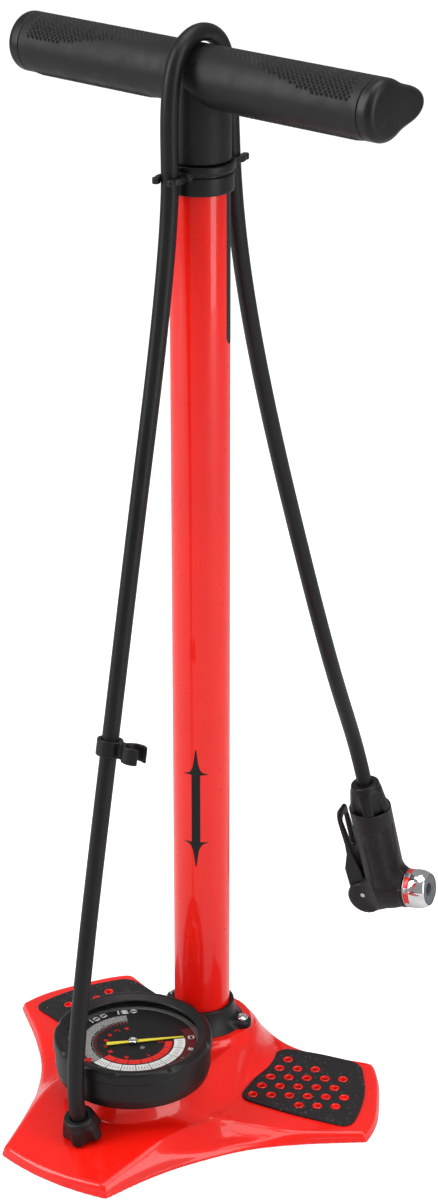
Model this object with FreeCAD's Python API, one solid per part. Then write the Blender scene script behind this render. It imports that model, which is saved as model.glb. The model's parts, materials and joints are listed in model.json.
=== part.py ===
import FreeCAD, Part
import math
import os

# Floor bike pump, in millimetres. The barrel's axis is Z and the floor is z = 0.
# +X runs along the handle, -Y is the gauge side, +Y is the side the user stands on.

Vector = FreeCAD.Vector
UP = Vector(0, 0, 1)

# --- driving dimensions ---------------------------------------------------------------------
running_gap = 0.05          # radial clearance of a turning or sliding fit
seat_gap = 0.1              # radial clearance between parts that are fixed together

barrel_radius = 17.5
barrel_wall = 1.5
barrel_bottom = 24.0
barrel_top = 586.0
stroke = 454.0              # 365 cc of air from a 32 mm bore
rod_radius = 6.0
rod_wall = 1.5

base_wall = 3.0
platform_z = 34.0           # flat seat of the barrel foot and of the gauge
pad_thickness = 1.4
pad_hole_pitch = 11.4
pad_hole_radius = 3.1

gauge_y = -73.5
gauge_radius = 48.0
gauge_bottom = 34.5
bezel_radius = 49.0
bezel_bottom = 53.0
bezel_top = 60.5
window_radius = 40.5
dial_z = 51.8
needle_start_angle = 45.0
needle_sweep = 270.0

gear_module = 0.4
pinion_teeth = 12
sector_full_teeth = 120
pressure_angle = 20.0
sector_pivot_angle = 170.0  # seen from the gauge's centre

hose_radius = 5.1
hose_bore = 2.6
nut_foot = Vector(0, -124, 14)
nut_lean = Vector(0, -0.309, 0.951)

handle_z = 642.25
handle_radius = 17.5
handle_half_length = 134.5
handle_seam = 124.8         # where the end caps start
handle_nose = 15.0          # how far the drop-shaped end stands out towards the user
handle_yaw = -6.0
stem_radius = 18.2
stem_bottom = 594.0

chuck_top = Vector(0, 189.5, 123.5)
chuck_up = Vector(-0.133, -0.175, 0.9755)
nozzle_direction = Vector(0.977, 0.142, 0.1585)
nozzle_drop = 86.0          # from the top of the chuck's nut down to the nozzle's axis
nozzle_reach = 32.3         # from the chuck's axis to the nozzle's face
chuck_radius = 13.0

# --- sizes that follow ----------------------------------------------------------------------
bore_radius = barrel_radius - barrel_wall
piston_bottom = barrel_bottom + 26.0
gear_distance = gear_module * (pinion_teeth + sector_full_teeth) / 2
sector_pivot = Vector(
    gear_distance * math.cos(math.radians(sector_pivot_angle)),
    gauge_y + gear_distance * math.sin(math.radians(sector_pivot_angle)),
    0,
)
bourdon_radius = 33.0
bourdon_tip_angle = 210.0
bourdon_middle_z = 43.5
plate_edge_radius = 5.0


# --- small helpers --------------------------------------------------------------------------
def disc(radius, bottom, top, x=0.0, y=0.0):
    return Part.makeCylinder(radius, top - bottom, Vector(x, y, bottom))


def ring(outer, inner, bottom, top, x=0.0, y=0.0):
    margin = 1.0
    return disc(outer, bottom, top, x, y).cut(disc(inner, bottom - margin, top + margin, x, y))


def rod_between(radius, start, end):
    return Part.makeCylinder(radius, (end - start).Length, start, end - start)


def box(low, high):
    size = Vector(*high) - Vector(*low)
    return Part.makeBox(size.x, size.y, size.z, Vector(*low))


def polygon_prism(points, height_vector):
    corners = [Vector(*point) for point in points]
    return Part.Face(Part.makePolygon(corners + corners[:1])).extrude(height_vector)


def union(shapes):
    return shapes[0].multiFuse(shapes[1:]).removeSplitter() if len(shapes) > 1 else shapes[0]


def without(shape, tools):
    return shape.cut(union(tools))


def mirrored(shape):
    return shape.mirror(Vector(0, 0, 0), Vector(1, 0, 0))


def both_sides(shape):
    return [shape, mirrored(shape)]


def group(shapes):
    return Part.makeCompound(shapes)


def spline(points):
    curve = Part.BSplineCurve()
    curve.interpolate(points)
    return curve.toShape()


def stadium(y_front, r_front, y_back, r_back, z):
    """Outline of two circles on the Y axis and the lines that touch both."""
    tilt = math.asin((r_front - r_back) / (y_back - y_front))
    side = Vector(math.cos(tilt), math.sin(tilt), 0)
    front = Vector(0, y_front, z)
    back = Vector(0, y_back, z)
    flip = Vector(-side.x, side.y, 0)
    corners = [front + side * r_front, back + side * r_back]
    corners += [back + flip * r_back, front + flip * r_front]
    return Part.Wire([
        Part.makeLine(corners[0], corners[1]),
        Part.Arc(corners[1], back + Vector(0, r_back, 0), corners[2]).toShape(),
        Part.makeLine(corners[2], corners[3]),
        Part.Arc(corners[3], front - Vector(0, r_front, 0), corners[0]).toShape(),
    ])


# --- base -----------------------------------------------------------------------------------
def base_outline():
    """Three lobes: one under the gauge and a wide one for each foot."""
    front = [(39.7, -155), (48.1, -125.4), (59.7, -98.2), (79, -66.5), (103.4, -41.4), (135, -16)]
    wing = [(135, -16), (119, 24), (95.5, 54.8)]
    rear = [(95.5, 54.8), (70, 43), (42, 38), (0, 48), (-42, 38), (-70, 43), (-95.5, 54.8)]
    side = spline([Vector(x, y, 0) for x, y in front])
    tip = Part.Arc(*[Vector(x, y, 0) for x, y in wing]).toShape()
    nose = Part.Arc(Vector(-39.7, -155, 0), Vector(0, -160, 0), Vector(39.7, -155, 0)).toShape()
    back = spline([Vector(x, y, 0) for x, y in rear])
    edges = [nose, side, tip, back, mirrored(tip), mirrored(side)]
    return Part.Wire(Part.__sortEdges__(edges))


def slab(sections):
    """Solid lofted through trapezoids given as (origin, across, half top, half foot, shift, top z)."""
    wires = []
    for origin, across, half_top, half_foot, middle, top in sections:
        corners = [
            origin + across * (middle - half_foot),
            origin + across * (middle + half_foot),
            origin + across * (middle + half_top) + UP * top,
            origin + across * (middle - half_top) + UP * top,
        ]
        wires.append(Part.makePolygon(corners + corners[:1]))
    return Part.makeLoft(wires, True, True)


def wing_top(x):
    """Height of the wing's flat top, which falls towards its outer edge."""
    return 5.5 + 0.052 * (140 - abs(x))


def base_roof(drop):
    """Everything under the base's top faces, lowered by drop."""
    across_x = Vector(1, 0, 0)
    across_y = Vector(0, 1, 0)
    front = slab([
        (Vector(0, -165, 0), across_x, 35, 41, 0, 4.6),
        (Vector(0, -50, 0), across_x, 56, 84, 0, 29.9),
    ])
    wing = slab([
        (Vector(140, 0, 0), across_y, 40, 50, 19, wing_top(140)),
        (Vector(20, 0, 0), across_y, 56, 68, -20, wing_top(20)),
    ])
    dome = Part.makeLoft([
        stadium(-56, 58, 0, 46, 0),
        stadium(-66, 40, 0, 31, platform_z - 2),
    ], True, True)
    barrel_seat = disc(31, 20, platform_z)
    gauge_seat = disc(36, 20, gauge_bottom, 0, gauge_y)
    roof = union([front, wing, mirrored(wing), dome, barrel_seat, gauge_seat])
    roof.translate(Vector(0, 0, -drop))
    return roof


def base_shell():
    outline = base_outline()
    height = 45.0
    outer = Part.Face(outline).extrude(Vector(0, 0, height))
    inner_outline = outline.scaled(1 - base_wall / 85.0, Vector(0, -45, 0))
    inner = Part.Face(inner_outline).extrude(Vector(0, 0, height))
    inner.translate(Vector(0, 0, -1))
    shell = outer.common(base_roof(0)).cut(inner.common(base_roof(base_wall)))
    boss = disc(24, duct_top, platform_z)
    boss_bore = disc(barrel_radius + seat_gap, barrel_bottom, platform_z + 1)
    riser_hole = disc(riser_radius + seat_gap, 0, barrel_bottom + 1)
    socket_hole = disc(socket_radius + seat_gap, 0, gauge_bottom + 1, 0, socket_y)
    holes = [boss_bore, riser_hole, socket_hole, spigot_shaft(spigot_thread_radius + seat_gap)]
    holes += [disc(screw_radius + seat_gap, 0, 60, x, y) for x, y in gauge_screw_places]
    shell = shell.fuse(boss)
    for x, y in collar_screw_places:
        shell = shell.fuse(disc(4.5, platform_z - 14, platform_z - 1, x, y))
        holes.append(disc(screw_radius + seat_gap, platform_z - 12, platform_z + 1, x, y))
    return without(shell, holes).removeSplitter()


nut_lift = 1.6               # clears the sloping lobe under the leaning nut
foot_thickness = 2.4
foot_places = [(0, -142), (104, 14), (-104, 14)]


def rubber_feet():
    """A pad under each lobe, hung from the shell's ceiling by a stem."""
    ceiling = base_roof(base_wall)
    feet = []
    for x, y in foot_places:
        pad = disc(9, 0, foot_thickness, x, y)
        stem = disc(5, 0, 30, x, y).common(ceiling)
        feet.append(pad.fuse(stem).removeSplitter())
    return group(feet)


def pad_holes():
    """Rows of a triangular lattice, each given by its first place and its length."""
    rows = [(0, 1), (-0.5, 3), (-1, 5), (-1.5, 5), (-2, 6), (0.5, 3)]
    along = Vector(math.cos(math.radians(35)), math.sin(math.radians(35)), 0) * pad_hole_pitch
    down = Vector(along.y, -along.x, 0) * math.sin(math.radians(60))
    first = Vector(53, 19.5, 0)
    return [
        first + down * row + along * (start + place)
        for row, (start, length) in enumerate(rows)
        for place in range(length)
    ]


def tread_pads():
    """A grip sheet on each wing, pierced by the base's raised studs."""
    corners = [(52, -34), (125, -17), (92.5, 45), (42, 28)]
    blank = polygon_prism([(x, y, wing_top(x)) for x, y in corners], Vector(0, 0, pad_thickness))
    uprights = [e for e in blank.Edges if e.BoundBox.XLength < 0.01 and e.BoundBox.YLength < 0.01]
    sheet = blank.makeFillet(8, uprights)
    holes = [disc(pad_hole_radius, 0, 45, p.x, p.y) for p in pad_holes()]
    return group(both_sides(sheet.cut(union(holes))))


# --- air way under the base -----------------------------------------------------------------
duct_bottom = 3.0
duct_top = 9.0
duct_bore = 2.0
riser_radius = 5.0
socket_radius = 5.0
socket_y = gauge_y + bourdon_radius
spigot_thread_radius = 4.4
screw_radius = 2.0
gauge_screw_places = [(0, gauge_y - 22), (19, gauge_y + 11), (-19, gauge_y + 11)]
collar_screw_places = [(25.9, 7.2), (-25.9, 7.2)]
duct_front = -129.0


def spigot_shaft(radius, start=-9.0, end=8.0):
    return rod_between(radius, nut_foot + nut_lean * start, nut_foot + nut_lean * end)


def air_duct():
    bar = box((-6, duct_front, duct_bottom), (6, 8, duct_top))
    riser = disc(riser_radius, duct_top, barrel_bottom)
    middle = (duct_bottom + duct_top) / 2
    channel = rod_between(duct_bore, Vector(0, duct_front + 5, middle), Vector(0, 0, middle))
    ports = [
        channel,
        disc(duct_bore, middle, barrel_bottom + 1),
        disc(socket_radius + seat_gap, middle, duct_top + 1, 0, socket_y),
        spigot_shaft(spigot_thread_radius + seat_gap, -12),
    ]
    return without(bar.fuse(riser), ports)


def hose_spigot():
    """Threaded tail in the duct, barbed nose in the hose."""
    tail = spigot_shaft(spigot_thread_radius, -7, 4.5)
    nose = spigot_shaft(hose_bore - 0.7, 4.5, 14)
    return tail.fuse(nose).cut(spigot_shaft(1.4, -10, 18)).removeSplitter()


def hose_nut():
    """Hand nut with five lobes and a plain neck."""
    height = 14.5
    flare = Part.makeCone(11.5, 8.5, 9.5)
    neck = Part.makeCylinder(7.8, height)
    nut = flare.fuse(neck)
    for step in range(5):
        scallop = Part.makeCylinder(4.2, 9.5, Vector(13.4, 0, -1), Vector(-0.22, 0, 1))
        scallop.rotate(Vector(), UP, 72 * step + 36)
        nut = nut.cut(scallop)
    nut = nut.cut(Part.makeCylinder(hose_radius + 0.7, height + 2, Vector(0, 0, -1)))
    nut.Placement = FreeCAD.Placement(nut_foot + nut_lean * nut_lift, FreeCAD.Rotation(UP, nut_lean))
    return nut.removeSplitter()


def gauge_screws():
    screws = []
    for x, y in gauge_screw_places:
        head = disc(3.6, platform_z - base_wall - 3, platform_z - base_wall + 0.5, x, y)
        shank = disc(screw_radius, platform_z - base_wall, gauge_bottom + 4, x, y)
        screws.append(head.fuse(shank).removeSplitter())
    return group(screws)


# --- barrel ---------------------------------------------------------------------------------
def barrel():
    return ring(barrel_radius, bore_radius, barrel_bottom, barrel_top)


def barrel_collar():
    """Clamp round the barrel's foot, with an ear and a screw on each side."""
    top = 48.4
    cone = Part.makeCone(24.8, 20.2, top - platform_z, Vector(0, 0, platform_z))
    ears = []
    for x, y in collar_screw_places:
        arm_corners = [(0, y - 14), (x, y - 5.5), (x, y + 5.5), (0, y + 14)]
        arm = polygon_prism([(*corner, platform_z) for corner in arm_corners], Vector(0, 0, 4.5))
        ears += [arm, disc(5.5, platform_z, platform_z + 4.5, x, y)]
    body = union([cone] + ears)
    holes = [disc(barrel_radius + seat_gap, platform_z - 1, top + 1)]
    holes += [disc(screw_radius + seat_gap, 0, top, x, y) for x, y in collar_screw_places]
    holes += [disc(4.2, platform_z + 4.5, top, x, y) for x, y in collar_screw_places]
    return without(body, holes)


def collar_screws():
    screws = []
    for x, y in collar_screw_places:
        shank = disc(screw_radius, platform_z - 10, platform_z + 5, x, y)
        head = disc(3.8, platform_z + 4.5, platform_z + 7, x, y)
        slot = box((x - 5, y - 0.5, platform_z + 6), (x + 5, y + 0.5, platform_z + 8))
        screws.append(head.fuse(shank).cut(slot).removeSplitter())
    return group(screws)


plug_top = barrel_bottom + 20.0
valve_seat_z = barrel_bottom + 12.0
valve_chamber = 7.0
valve_disc_radius = 6.0
valve_disc_thickness = 1.5
valve_lift = 1.5
seal_groove = (barrel_bottom + 6, barrel_bottom + 9)


def barrel_plug():
    """Closes the barrel's foot; air leaves through it past the check valve."""
    body = disc(bore_radius - seat_gap, barrel_bottom, plug_top)
    cuts = [
        disc(valve_chamber, barrel_bottom + 3, valve_seat_z),
        disc(3, barrel_bottom, plug_top + 1),
        ring(bore_radius + 1, 13.4, *seal_groove),
    ]
    return without(body, cuts)


def plug_seal():
    low, high = seal_groove
    return Part.makeTorus(14.75, 1.15, Vector(0, 0, (low + high) / 2))


def check_valve_disc():
    return disc(valve_disc_radius, valve_seat_z - valve_disc_thickness, valve_seat_z)


def coil(radius, wire, bottom, top, turns):
    """Spring whose wire stays between bottom and top."""
    steps = 16 * turns
    rise = (top - bottom - 2 * wire) / steps
    rings = []
    for step in range(steps + 1):
        turn = 2 * math.pi * turns * step / steps
        centre = Vector(radius * math.cos(turn), radius * math.sin(turn), bottom + wire + rise * step)
        along = Vector(-math.sin(turn), math.cos(turn), rise * steps / (2 * math.pi * turns * radius))
        rings.append(Part.Wire(Part.makeCircle(wire, centre, along)))
    return Part.makeLoft(rings, True, False)


def check_spring():
    floor = barrel_bottom + 3
    return coil(4.6, 0.35, floor + 0.05, valve_seat_z - valve_disc_thickness - 0.05, 4)


# --- barrel top -----------------------------------------------------------------------------
cap_top = stem_bottom - 0.2
fork_bottom = 586.4
fork_top = 590.2
front_fork_y = -28.6
rear_fork_y = 31.9


def hose_fork(y, mouth):
    """Open ring that the hose snaps into; mouth is the Y direction of its opening."""
    clasp = ring(8.2, hose_radius + 0.3, fork_bottom, fork_top, 0, y)
    opening = box((-3.9, 0, fork_bottom - 1), (3.9, 12, fork_top + 1))
    if mouth < 0:
        opening.rotate(Vector(), UP, 180)
    opening.translate(Vector(0, y, 0))
    inward = sorted((y - math.copysign(7, y), math.copysign(16, y)))
    bridge = box((-6, inward[0], fork_bottom), (6, inward[1], fork_top))
    bridge = bridge.cut(disc(hose_radius + 0.3, fork_bottom - 1, fork_top + 1, 0, y))
    return clasp.cut(opening).fuse(bridge)


def top_cap():
    band = disc(19.8, 577, 587.2)
    groove = disc(18.6, 587, 589.2)
    flange = disc(20.5, 589, cap_top)
    forks = [hose_fork(front_fork_y, -1), hose_fork(rear_fork_y, 1)]
    body = union([band, groove, flange] + forks)
    seat = ring(barrel_radius + seat_gap, bore_radius - seat_gap, 570, barrel_top)
    tail = disc(bore_radius - seat_gap, 562, 578)
    bore = disc(bushing_radius + seat_gap, 560, 600)
    return body.fuse(tail).cut(seat).cut(bore).removeSplitter()


bushing_radius = 9.0


def rod_bushing():
    return ring(bushing_radius, rod_radius + running_gap, 562, cap_top)


def rod_bumper():
    return ring(14.0, rod_radius + 0.5, 554, 562)


# --- piston and handle ----------------------------------------------------------------------
piston_head_height = 16.0
piston_head_bottom = piston_bottom + 4


def piston_rod():
    return ring(rod_radius, rod_radius - rod_wall, piston_bottom, handle_z - 6)


def piston_head():
    top = piston_head_bottom + piston_head_height
    body = disc(bore_radius - 0.4, piston_head_bottom, top)
    groove = ring(bore_radius + 1, 12.0, piston_head_bottom + 4, piston_head_bottom + 11)
    return without(body, [groove, disc(rod_radius + seat_gap, piston_head_bottom - 1, top + 1)])


def piston_seal():
    """Cup seal with its lip towards the barrel's foot."""
    bottom = piston_head_bottom + 4.1
    top = piston_head_bottom + 10.9
    cup = ring(bore_radius - running_gap, 12.1, bottom, top)
    return cup.cut(ring(bore_radius - 1.2, 13.2, bottom - 1, top - 2))


def piston_nut():
    turns = [math.radians(60 * corner) for corner in range(6)]
    corners = [(9 * math.cos(turn), 9 * math.sin(turn), piston_bottom - 1) for turn in turns]
    nut = polygon_prism(corners, Vector(0, 0, 5))
    return nut.cut(disc(rod_radius + seat_gap, 0, 100))


def handle_section(x, nose, scale=1.0):
    """Round at the middle; towards the ends it grows a nose on the user's side."""
    steps = 28
    nose_spread = 27.0
    points = []
    for step in range(steps):
        angle = 360.0 * step / steps
        away = min(angle, 360 - angle)
        reach = scale * (handle_radius + nose * math.exp(-(away / nose_spread) ** 2))
        turn = math.radians(angle)
        points.append(Vector(x, reach * math.cos(turn), handle_z + reach * math.sin(turn)))
    curve = Part.BSplineCurve()
    curve.interpolate(points, PeriodicFlag=True)
    return Part.Wire(curve.toShape())


def handle_nose_at(x):
    plain_half = 15.0
    share = min(max((abs(x) - plain_half) / (handle_half_length - plain_half), 0.0), 1.0)
    return handle_nose * share * share * (3 - 2 * share)


def turned(shape):
    shape.rotate(Vector(), UP, handle_yaw)
    return shape


arm_bore = 11.0


def handle_body():
    """T-shaped moulding: both hollow arms and the stem that meets the barrel cap."""
    places = [0, 15, 45, 75, 100, handle_seam]
    half = Part.makeLoft([handle_section(x, handle_nose_at(x)) for x in places], True, False)
    stem = disc(stem_radius, stem_bottom, handle_z)
    body = union([half, mirrored(half), stem])
    hollow_start = Vector(22, 0, handle_z)
    hollow = rod_between(arm_bore, hollow_start, Vector(handle_seam + 1, 0, handle_z))
    cuts = both_sides(hollow)
    cuts.append(disc(insert_radius + seat_gap, stem_bottom - 1, insert_top))
    return turned(without(body, cuts))


insert_radius = 10.0
insert_top = handle_z - 2


def handle_insert():
    """Threaded metal core that joins the piston rod to the handle."""
    core = disc(insert_radius, stem_bottom + 2, insert_top - 0.1)
    return turned(core.cut(disc(rod_radius + seat_gap, 0, handle_z - 5.9)))


def end_cap(side):
    shell = Part.makeLoft([
        handle_section(handle_seam + 0.1, handle_nose_at(handle_seam)),
        handle_section(130, handle_nose_at(130)),
        handle_section(133, handle_nose_at(133), 0.95),
        handle_section(handle_half_length, handle_nose, 0.84),
    ], True, False)
    spigot = rod_between(
        arm_bore - seat_gap, Vector(handle_seam - 10, 0, handle_z), Vector(handle_seam + 2, 0, handle_z)
    )
    cap = shell.fuse(spigot).removeSplitter()
    return turned(cap if side > 0 else mirrored(cap))


# --- gauge ----------------------------------------------------------------------------------
lens_bottom = 55.6
lens_top = 57.0
step_radius = 46.0


def gauge_disc(radius, bottom, top):
    return disc(radius, bottom, top, 0, gauge_y)


def gauge_housing():
    floor = gauge_bottom + 2.5
    wall = gauge_disc(gauge_radius, gauge_bottom, bezel_bottom - 0.2)
    cup = union([wall, gauge_disc(step_radius, 40, lens_top)])
    cuts = [
        gauge_disc(44.4, floor, lens_bottom + 1),
        gauge_disc(45.2, lens_bottom, lens_top + 1),
        disc(socket_radius + seat_gap, 0, floor + 1, 0, socket_y),
    ]
    cuts += [disc(screw_radius + seat_gap, 0, floor + 1.5, x, y) for x, y in gauge_screw_places]
    posts = [disc(4, floor - 1, floor + 1.4, x, y) for x, y in gauge_screw_places]
    return without(without(cup, cuts[:3]).fuse(union(posts)), cuts[3:])


def gauge_lens():
    return gauge_disc(45.1, lens_bottom, lens_top - 0.02)


def gauge_dial():
    return without(gauge_disc(44.0, dial_z, dial_z + 0.6), [gauge_disc(2.0, 0, 99)] + [
        disc(0.9, 0, 99, p.x, p.y) for p in dial_posts
    ])


def gauge_bezel():
    """Turning ring over the window, with dimples for the fingers."""
    skirt_top = lens_top + 0.1
    outer = gauge_disc(bezel_radius, bezel_bottom, bezel_top)
    rim = [edge for edge in outer.Edges if abs(edge.BoundBox.ZMin - bezel_top) < 0.01]
    outer = outer.makeChamfer(1.6, rim)
    cuts = [gauge_disc(step_radius + running_gap, 0, skirt_top), gauge_disc(window_radius, 0, 99)]
    bezel = without(outer, cuts)
    for step in range(8):
        turn = math.radians(45 * step + 22)
        spot = Vector(55.5 * math.cos(turn), gauge_y + 55.5 * math.sin(turn), bezel_top + 4)
        bezel = bezel.cut(Part.makeSphere(9.0, spot))
    return bezel


def target_marker():
    """Small pointer on the bezel's inner edge, set to the wanted pressure."""
    turn = math.radians(-98)
    outward = Vector(math.cos(turn), math.sin(turn), 0)
    sideways = Vector(-outward.y, outward.x, 0)
    centre = Vector(0, gauge_y, lens_top + 0.4)
    rim = window_radius - 0.6
    corners = [
        centre + outward * rim + sideways * 2.6,
        centre + outward * rim - sideways * 2.6,
        centre + outward * (rim - 5),
    ]
    plate = Part.Face(Part.makePolygon(corners + corners[:1])).extrude(Vector(0, 0, 0.8))
    neck_start = centre + outward * (rim - 1.5) + UP
    neck = rod_between(1.0, neck_start, centre + outward * (window_radius + 1.5) + UP)
    return plate.fuse(neck)


def marker_socket():
    turn = math.radians(-98)
    outward = Vector(math.cos(turn), math.sin(turn), 0)
    centre = Vector(0, gauge_y, lens_top + 1.4)
    start = centre + outward * (window_radius - 3)
    return rod_between(1.1, start, centre + outward * (window_radius + 1.7))


def involute(angle):
    return math.tan(angle) - angle


def tooth_points(teeth, middle_angle):
    """One tooth's outline from root to root, anticlockwise, about the gear's own centre."""
    pitch = gear_module * teeth / 2
    base = pitch * math.cos(math.radians(pressure_angle))
    root = pitch - 0.95 * gear_module
    tip = pitch + 0.7 * gear_module
    backlash = 0.05
    half_at_base = math.pi / (2 * teeth) - backlash / pitch + involute(math.radians(pressure_angle))
    flank = []
    for step in range(5):
        radius = max(base, root) + (tip - max(base, root)) * step / 4
        half = half_at_base - involute(math.acos(min(1.0, base / radius)))
        flank.append((radius, half))
    if root < base:
        flank.insert(0, (root, half_at_base))
    rising = [(radius, middle_angle - half) for radius, half in flank]
    falling = [(radius, middle_angle + half) for radius, half in reversed(flank)]
    return [Vector(radius * math.cos(a), radius * math.sin(a), 0) for radius, a in rising + falling]


def pinion_outline():
    """A tooth points at the sector's pivot."""
    start = math.radians(sector_pivot_angle)
    points = []
    for tooth in range(pinion_teeth):
        points += tooth_points(pinion_teeth, start + 2 * math.pi * tooth / pinion_teeth)
    return Part.Face(Part.makePolygon(points + points[:1]))


def needle_arbor():
    """Pointer shaft with the pinion cut on it."""
    shaft = gauge_disc(0.8, 40.6, dial_z + 2.6)
    pinion = pinion_outline().extrude(Vector(0, 0, 3))
    pinion.translate(Vector(0, gauge_y, 43))
    return shaft.fuse(pinion)


def needle():
    """Tapered pointer with a counterweight tail."""
    bottom = dial_z + 1.4
    lower_side = [(-15, -1.1), (-4, -1.0), (0, -1.6), (31.5, -0.35)]
    outline = lower_side + [(x, -y) for x, y in reversed(lower_side)]
    blade = polygon_prism([(x, y, bottom) for x, y in outline], Vector(0, 0, 0.5))
    blade = blade.fuse(disc(3.0, bottom, bottom + 0.5)).cut(disc(0.8 + seat_gap, 0, 99))
    blade.rotate(Vector(), UP, needle_start_angle)
    blade.translate(Vector(0, gauge_y, 0))
    return blade


def needle_cap():
    bottom = dial_z + 1.9
    cap = gauge_disc(3.2, bottom, bottom + 1.4)
    rim = [edge for edge in cap.Edges if abs(edge.BoundBox.ZMin - bottom - 1.4) < 0.01]
    cap = cap.makeChamfer(0.5, rim)
    return cap.cut(gauge_disc(0.8 + seat_gap, 0, bottom + 0.8))


sector_bottom = 43.5
sector_top = 45.5
link_bottom = 49.6
link_top = 50.6
tail_length = 8.0
tail_end = sector_pivot + Vector(-tail_length, 0, 0)
tube_tip = Vector(
    bourdon_radius * math.cos(math.radians(bourdon_tip_angle)),
    gauge_y + bourdon_radius * math.sin(math.radians(bourdon_tip_angle)),
    0,
)


def sector_gear():
    """Toothed arc on one side of the pivot, a tail for the link on the other."""
    to_pinion = math.radians(sector_pivot_angle - 180)
    tooth_angle = 2 * math.pi / sector_full_teeth
    points = [Vector(0, 0, 0)]
    for tooth in range(-12, 3):
        points += tooth_points(sector_full_teeth, to_pinion + tooth_angle * (tooth + 0.5))
    plate = Part.Face(Part.makePolygon(points + points[:1])).extrude(UP * (sector_top - sector_bottom))
    hub = Part.makeCylinder(3.2, sector_top - sector_bottom)
    thickness = sector_top - sector_bottom
    tail = Part.makeBox(tail_length, 3, thickness, Vector(-tail_length, -1.5, 0))
    tail_round = Part.makeCylinder(1.8, thickness, Vector(-tail_length, 0, 0))
    post = Part.makeCylinder(1.0, link_top - sector_bottom + 0.4, Vector(-tail_length, 0, 0))
    gear = union([plate, hub, tail, tail_round, post])
    gear = gear.cut(Part.makeCylinder(1.0 + running_gap, 20, Vector(0, 0, -5)))
    gear.translate(Vector(sector_pivot.x, sector_pivot.y, sector_bottom))
    return gear


def sector_pin():
    return disc(1.0, 40.2, 48.8, sector_pivot.x, sector_pivot.y)


def gauge_link():
    """Bar from the sector's tail to a long slot over the tube's tip."""
    along = (tube_tip - tail_end).normalize()
    side = Vector(-along.y, along.x, 0)
    reach = (tube_tip - tail_end).Length
    end = tail_end + along * (reach + 4.5)
    corners = [tail_end + side * 1.9, tail_end - side * 1.9, end - side * 3.2, end + side * 3.2]
    bar = Part.Face(Part.makePolygon(corners + corners[:1])).extrude(UP * (link_top - link_bottom))
    bar.translate(UP * link_bottom)
    eye = disc(2.2, link_bottom, link_top, tail_end.x, tail_end.y)
    slot_start = tube_tip - along * 6.8
    slot_end = end - along
    slot = [slot_start + side * 1.6, slot_start - side * 1.6, slot_end - side * 1.6, slot_end + side * 1.6]
    window = Part.Face(Part.makePolygon(slot + slot[:1])).extrude(UP * 10)
    window.translate(UP * (link_bottom - 5))
    post_hole = disc(1.0 + running_gap, 0, 99, tail_end.x, tail_end.y)
    return bar.fuse(eye).cut(post_hole).cut(window)


far_pillar = Vector(
    -8.5 * math.cos(math.radians(sector_pivot_angle)),
    gauge_y - 8.5 * math.sin(math.radians(sector_pivot_angle)),
    0,
)
dial_posts = [far_pillar, sector_pivot]
plate_levels = [(40.0, 41.5), (47.5, 49.0)]


def movement_frame():
    """Two plates and their pillars, carrying the arbor and the sector's pin."""
    parts = []
    for bottom, top in plate_levels:
        side = (far_pillar - sector_pivot).normalize()
        across = Vector(-side.y, side.x, 0) * plate_edge_radius
        corners = [far_pillar + across, far_pillar - across]
        corners += [sector_pivot - across, sector_pivot + across]
        plate = Part.Face(Part.makePolygon(corners + corners[:1])).extrude(UP * (top - bottom))
        plate.translate(UP * bottom)
        parts.append(plate)
        parts += [disc(plate_edge_radius, bottom, top, p.x, p.y) for p in dial_posts]
    parts.append(disc(2.2, 41, 48, far_pillar.x, far_pillar.y))
    parts += [disc(2.0, 48.5, dial_z, p.x, p.y) for p in dial_posts]
    parts += [disc(2.5, gauge_bottom + 2.5, 40.5, p.x, p.y) for p in dial_posts]
    frame = union(parts)
    holes = [gauge_disc(0.8 + running_gap, 30, 60)]
    holes.append(disc(1.0 + seat_gap, 40.1, 48.9, sector_pivot.x, sector_pivot.y))
    holes += [disc(0.8 + running_gap, dial_z - 2.2, 60, p.x, p.y) for p in dial_posts]
    return without(frame, holes)


def dial_screws():
    screws = []
    for p in dial_posts:
        shank = disc(0.8, dial_z - 2, dial_z + 0.7, p.x, p.y)
        head = disc(1.5, dial_z + 0.6, dial_z + 1.1, p.x, p.y)
        screws.append(head.fuse(shank).removeSplitter())
    return group(screws)


def bourdon_tube():
    """Flattened tube bent into a C round the movement; its free end carries the link's pin."""
    start_angle = 78.0
    sweep = 360 + start_angle - bourdon_tip_angle
    centre = Vector(bourdon_radius, 0, bourdon_middle_z)

    def section(across, tall):
        oval = Part.Ellipse(centre + UP * tall, centre + Vector(across, 0, 0), centre)
        return Part.Wire(oval.toShape())

    face = Part.Face(section(2.2, 5.9)).cut(Part.Face(section(1.5, 5.2)))
    tube = face.revolve(Vector(), UP, sweep)
    half_height = 5.9
    cap_corner = Vector(bourdon_radius - 2.5, -3, bourdon_middle_z - half_height)
    cap = Part.makeBox(5, 3, 2 * half_height, cap_corner)
    pin = Part.makeCylinder(0.8, 1.8, Vector(bourdon_radius, -1.5, bourdon_middle_z + 5.8))
    tube = tube.fuse(cap).fuse(pin)
    tube.rotate(Vector(), UP, bourdon_tip_angle)
    tube.translate(Vector(0, gauge_y, 0))
    return tube.removeSplitter()


def gauge_socket():
    """Feeds the tube from the duct below."""
    floor = gauge_bottom + 2.5
    block = box((-6, socket_y - 5, floor), (6, socket_y + 5, bourdon_middle_z + 6))
    outlet = Vector(0, socket_y, bourdon_middle_z)
    sleeve = rod_between(1.0, outlet, outlet + Vector(8, 0, 0))
    stem = disc(socket_radius, duct_top - 2.5, floor + 1, 0, socket_y)
    riser = disc(1.5, 0, bourdon_middle_z, 0, socket_y)
    return block.fuse(stem).cut(riser).cut(sleeve).removeSplitter()


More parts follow.
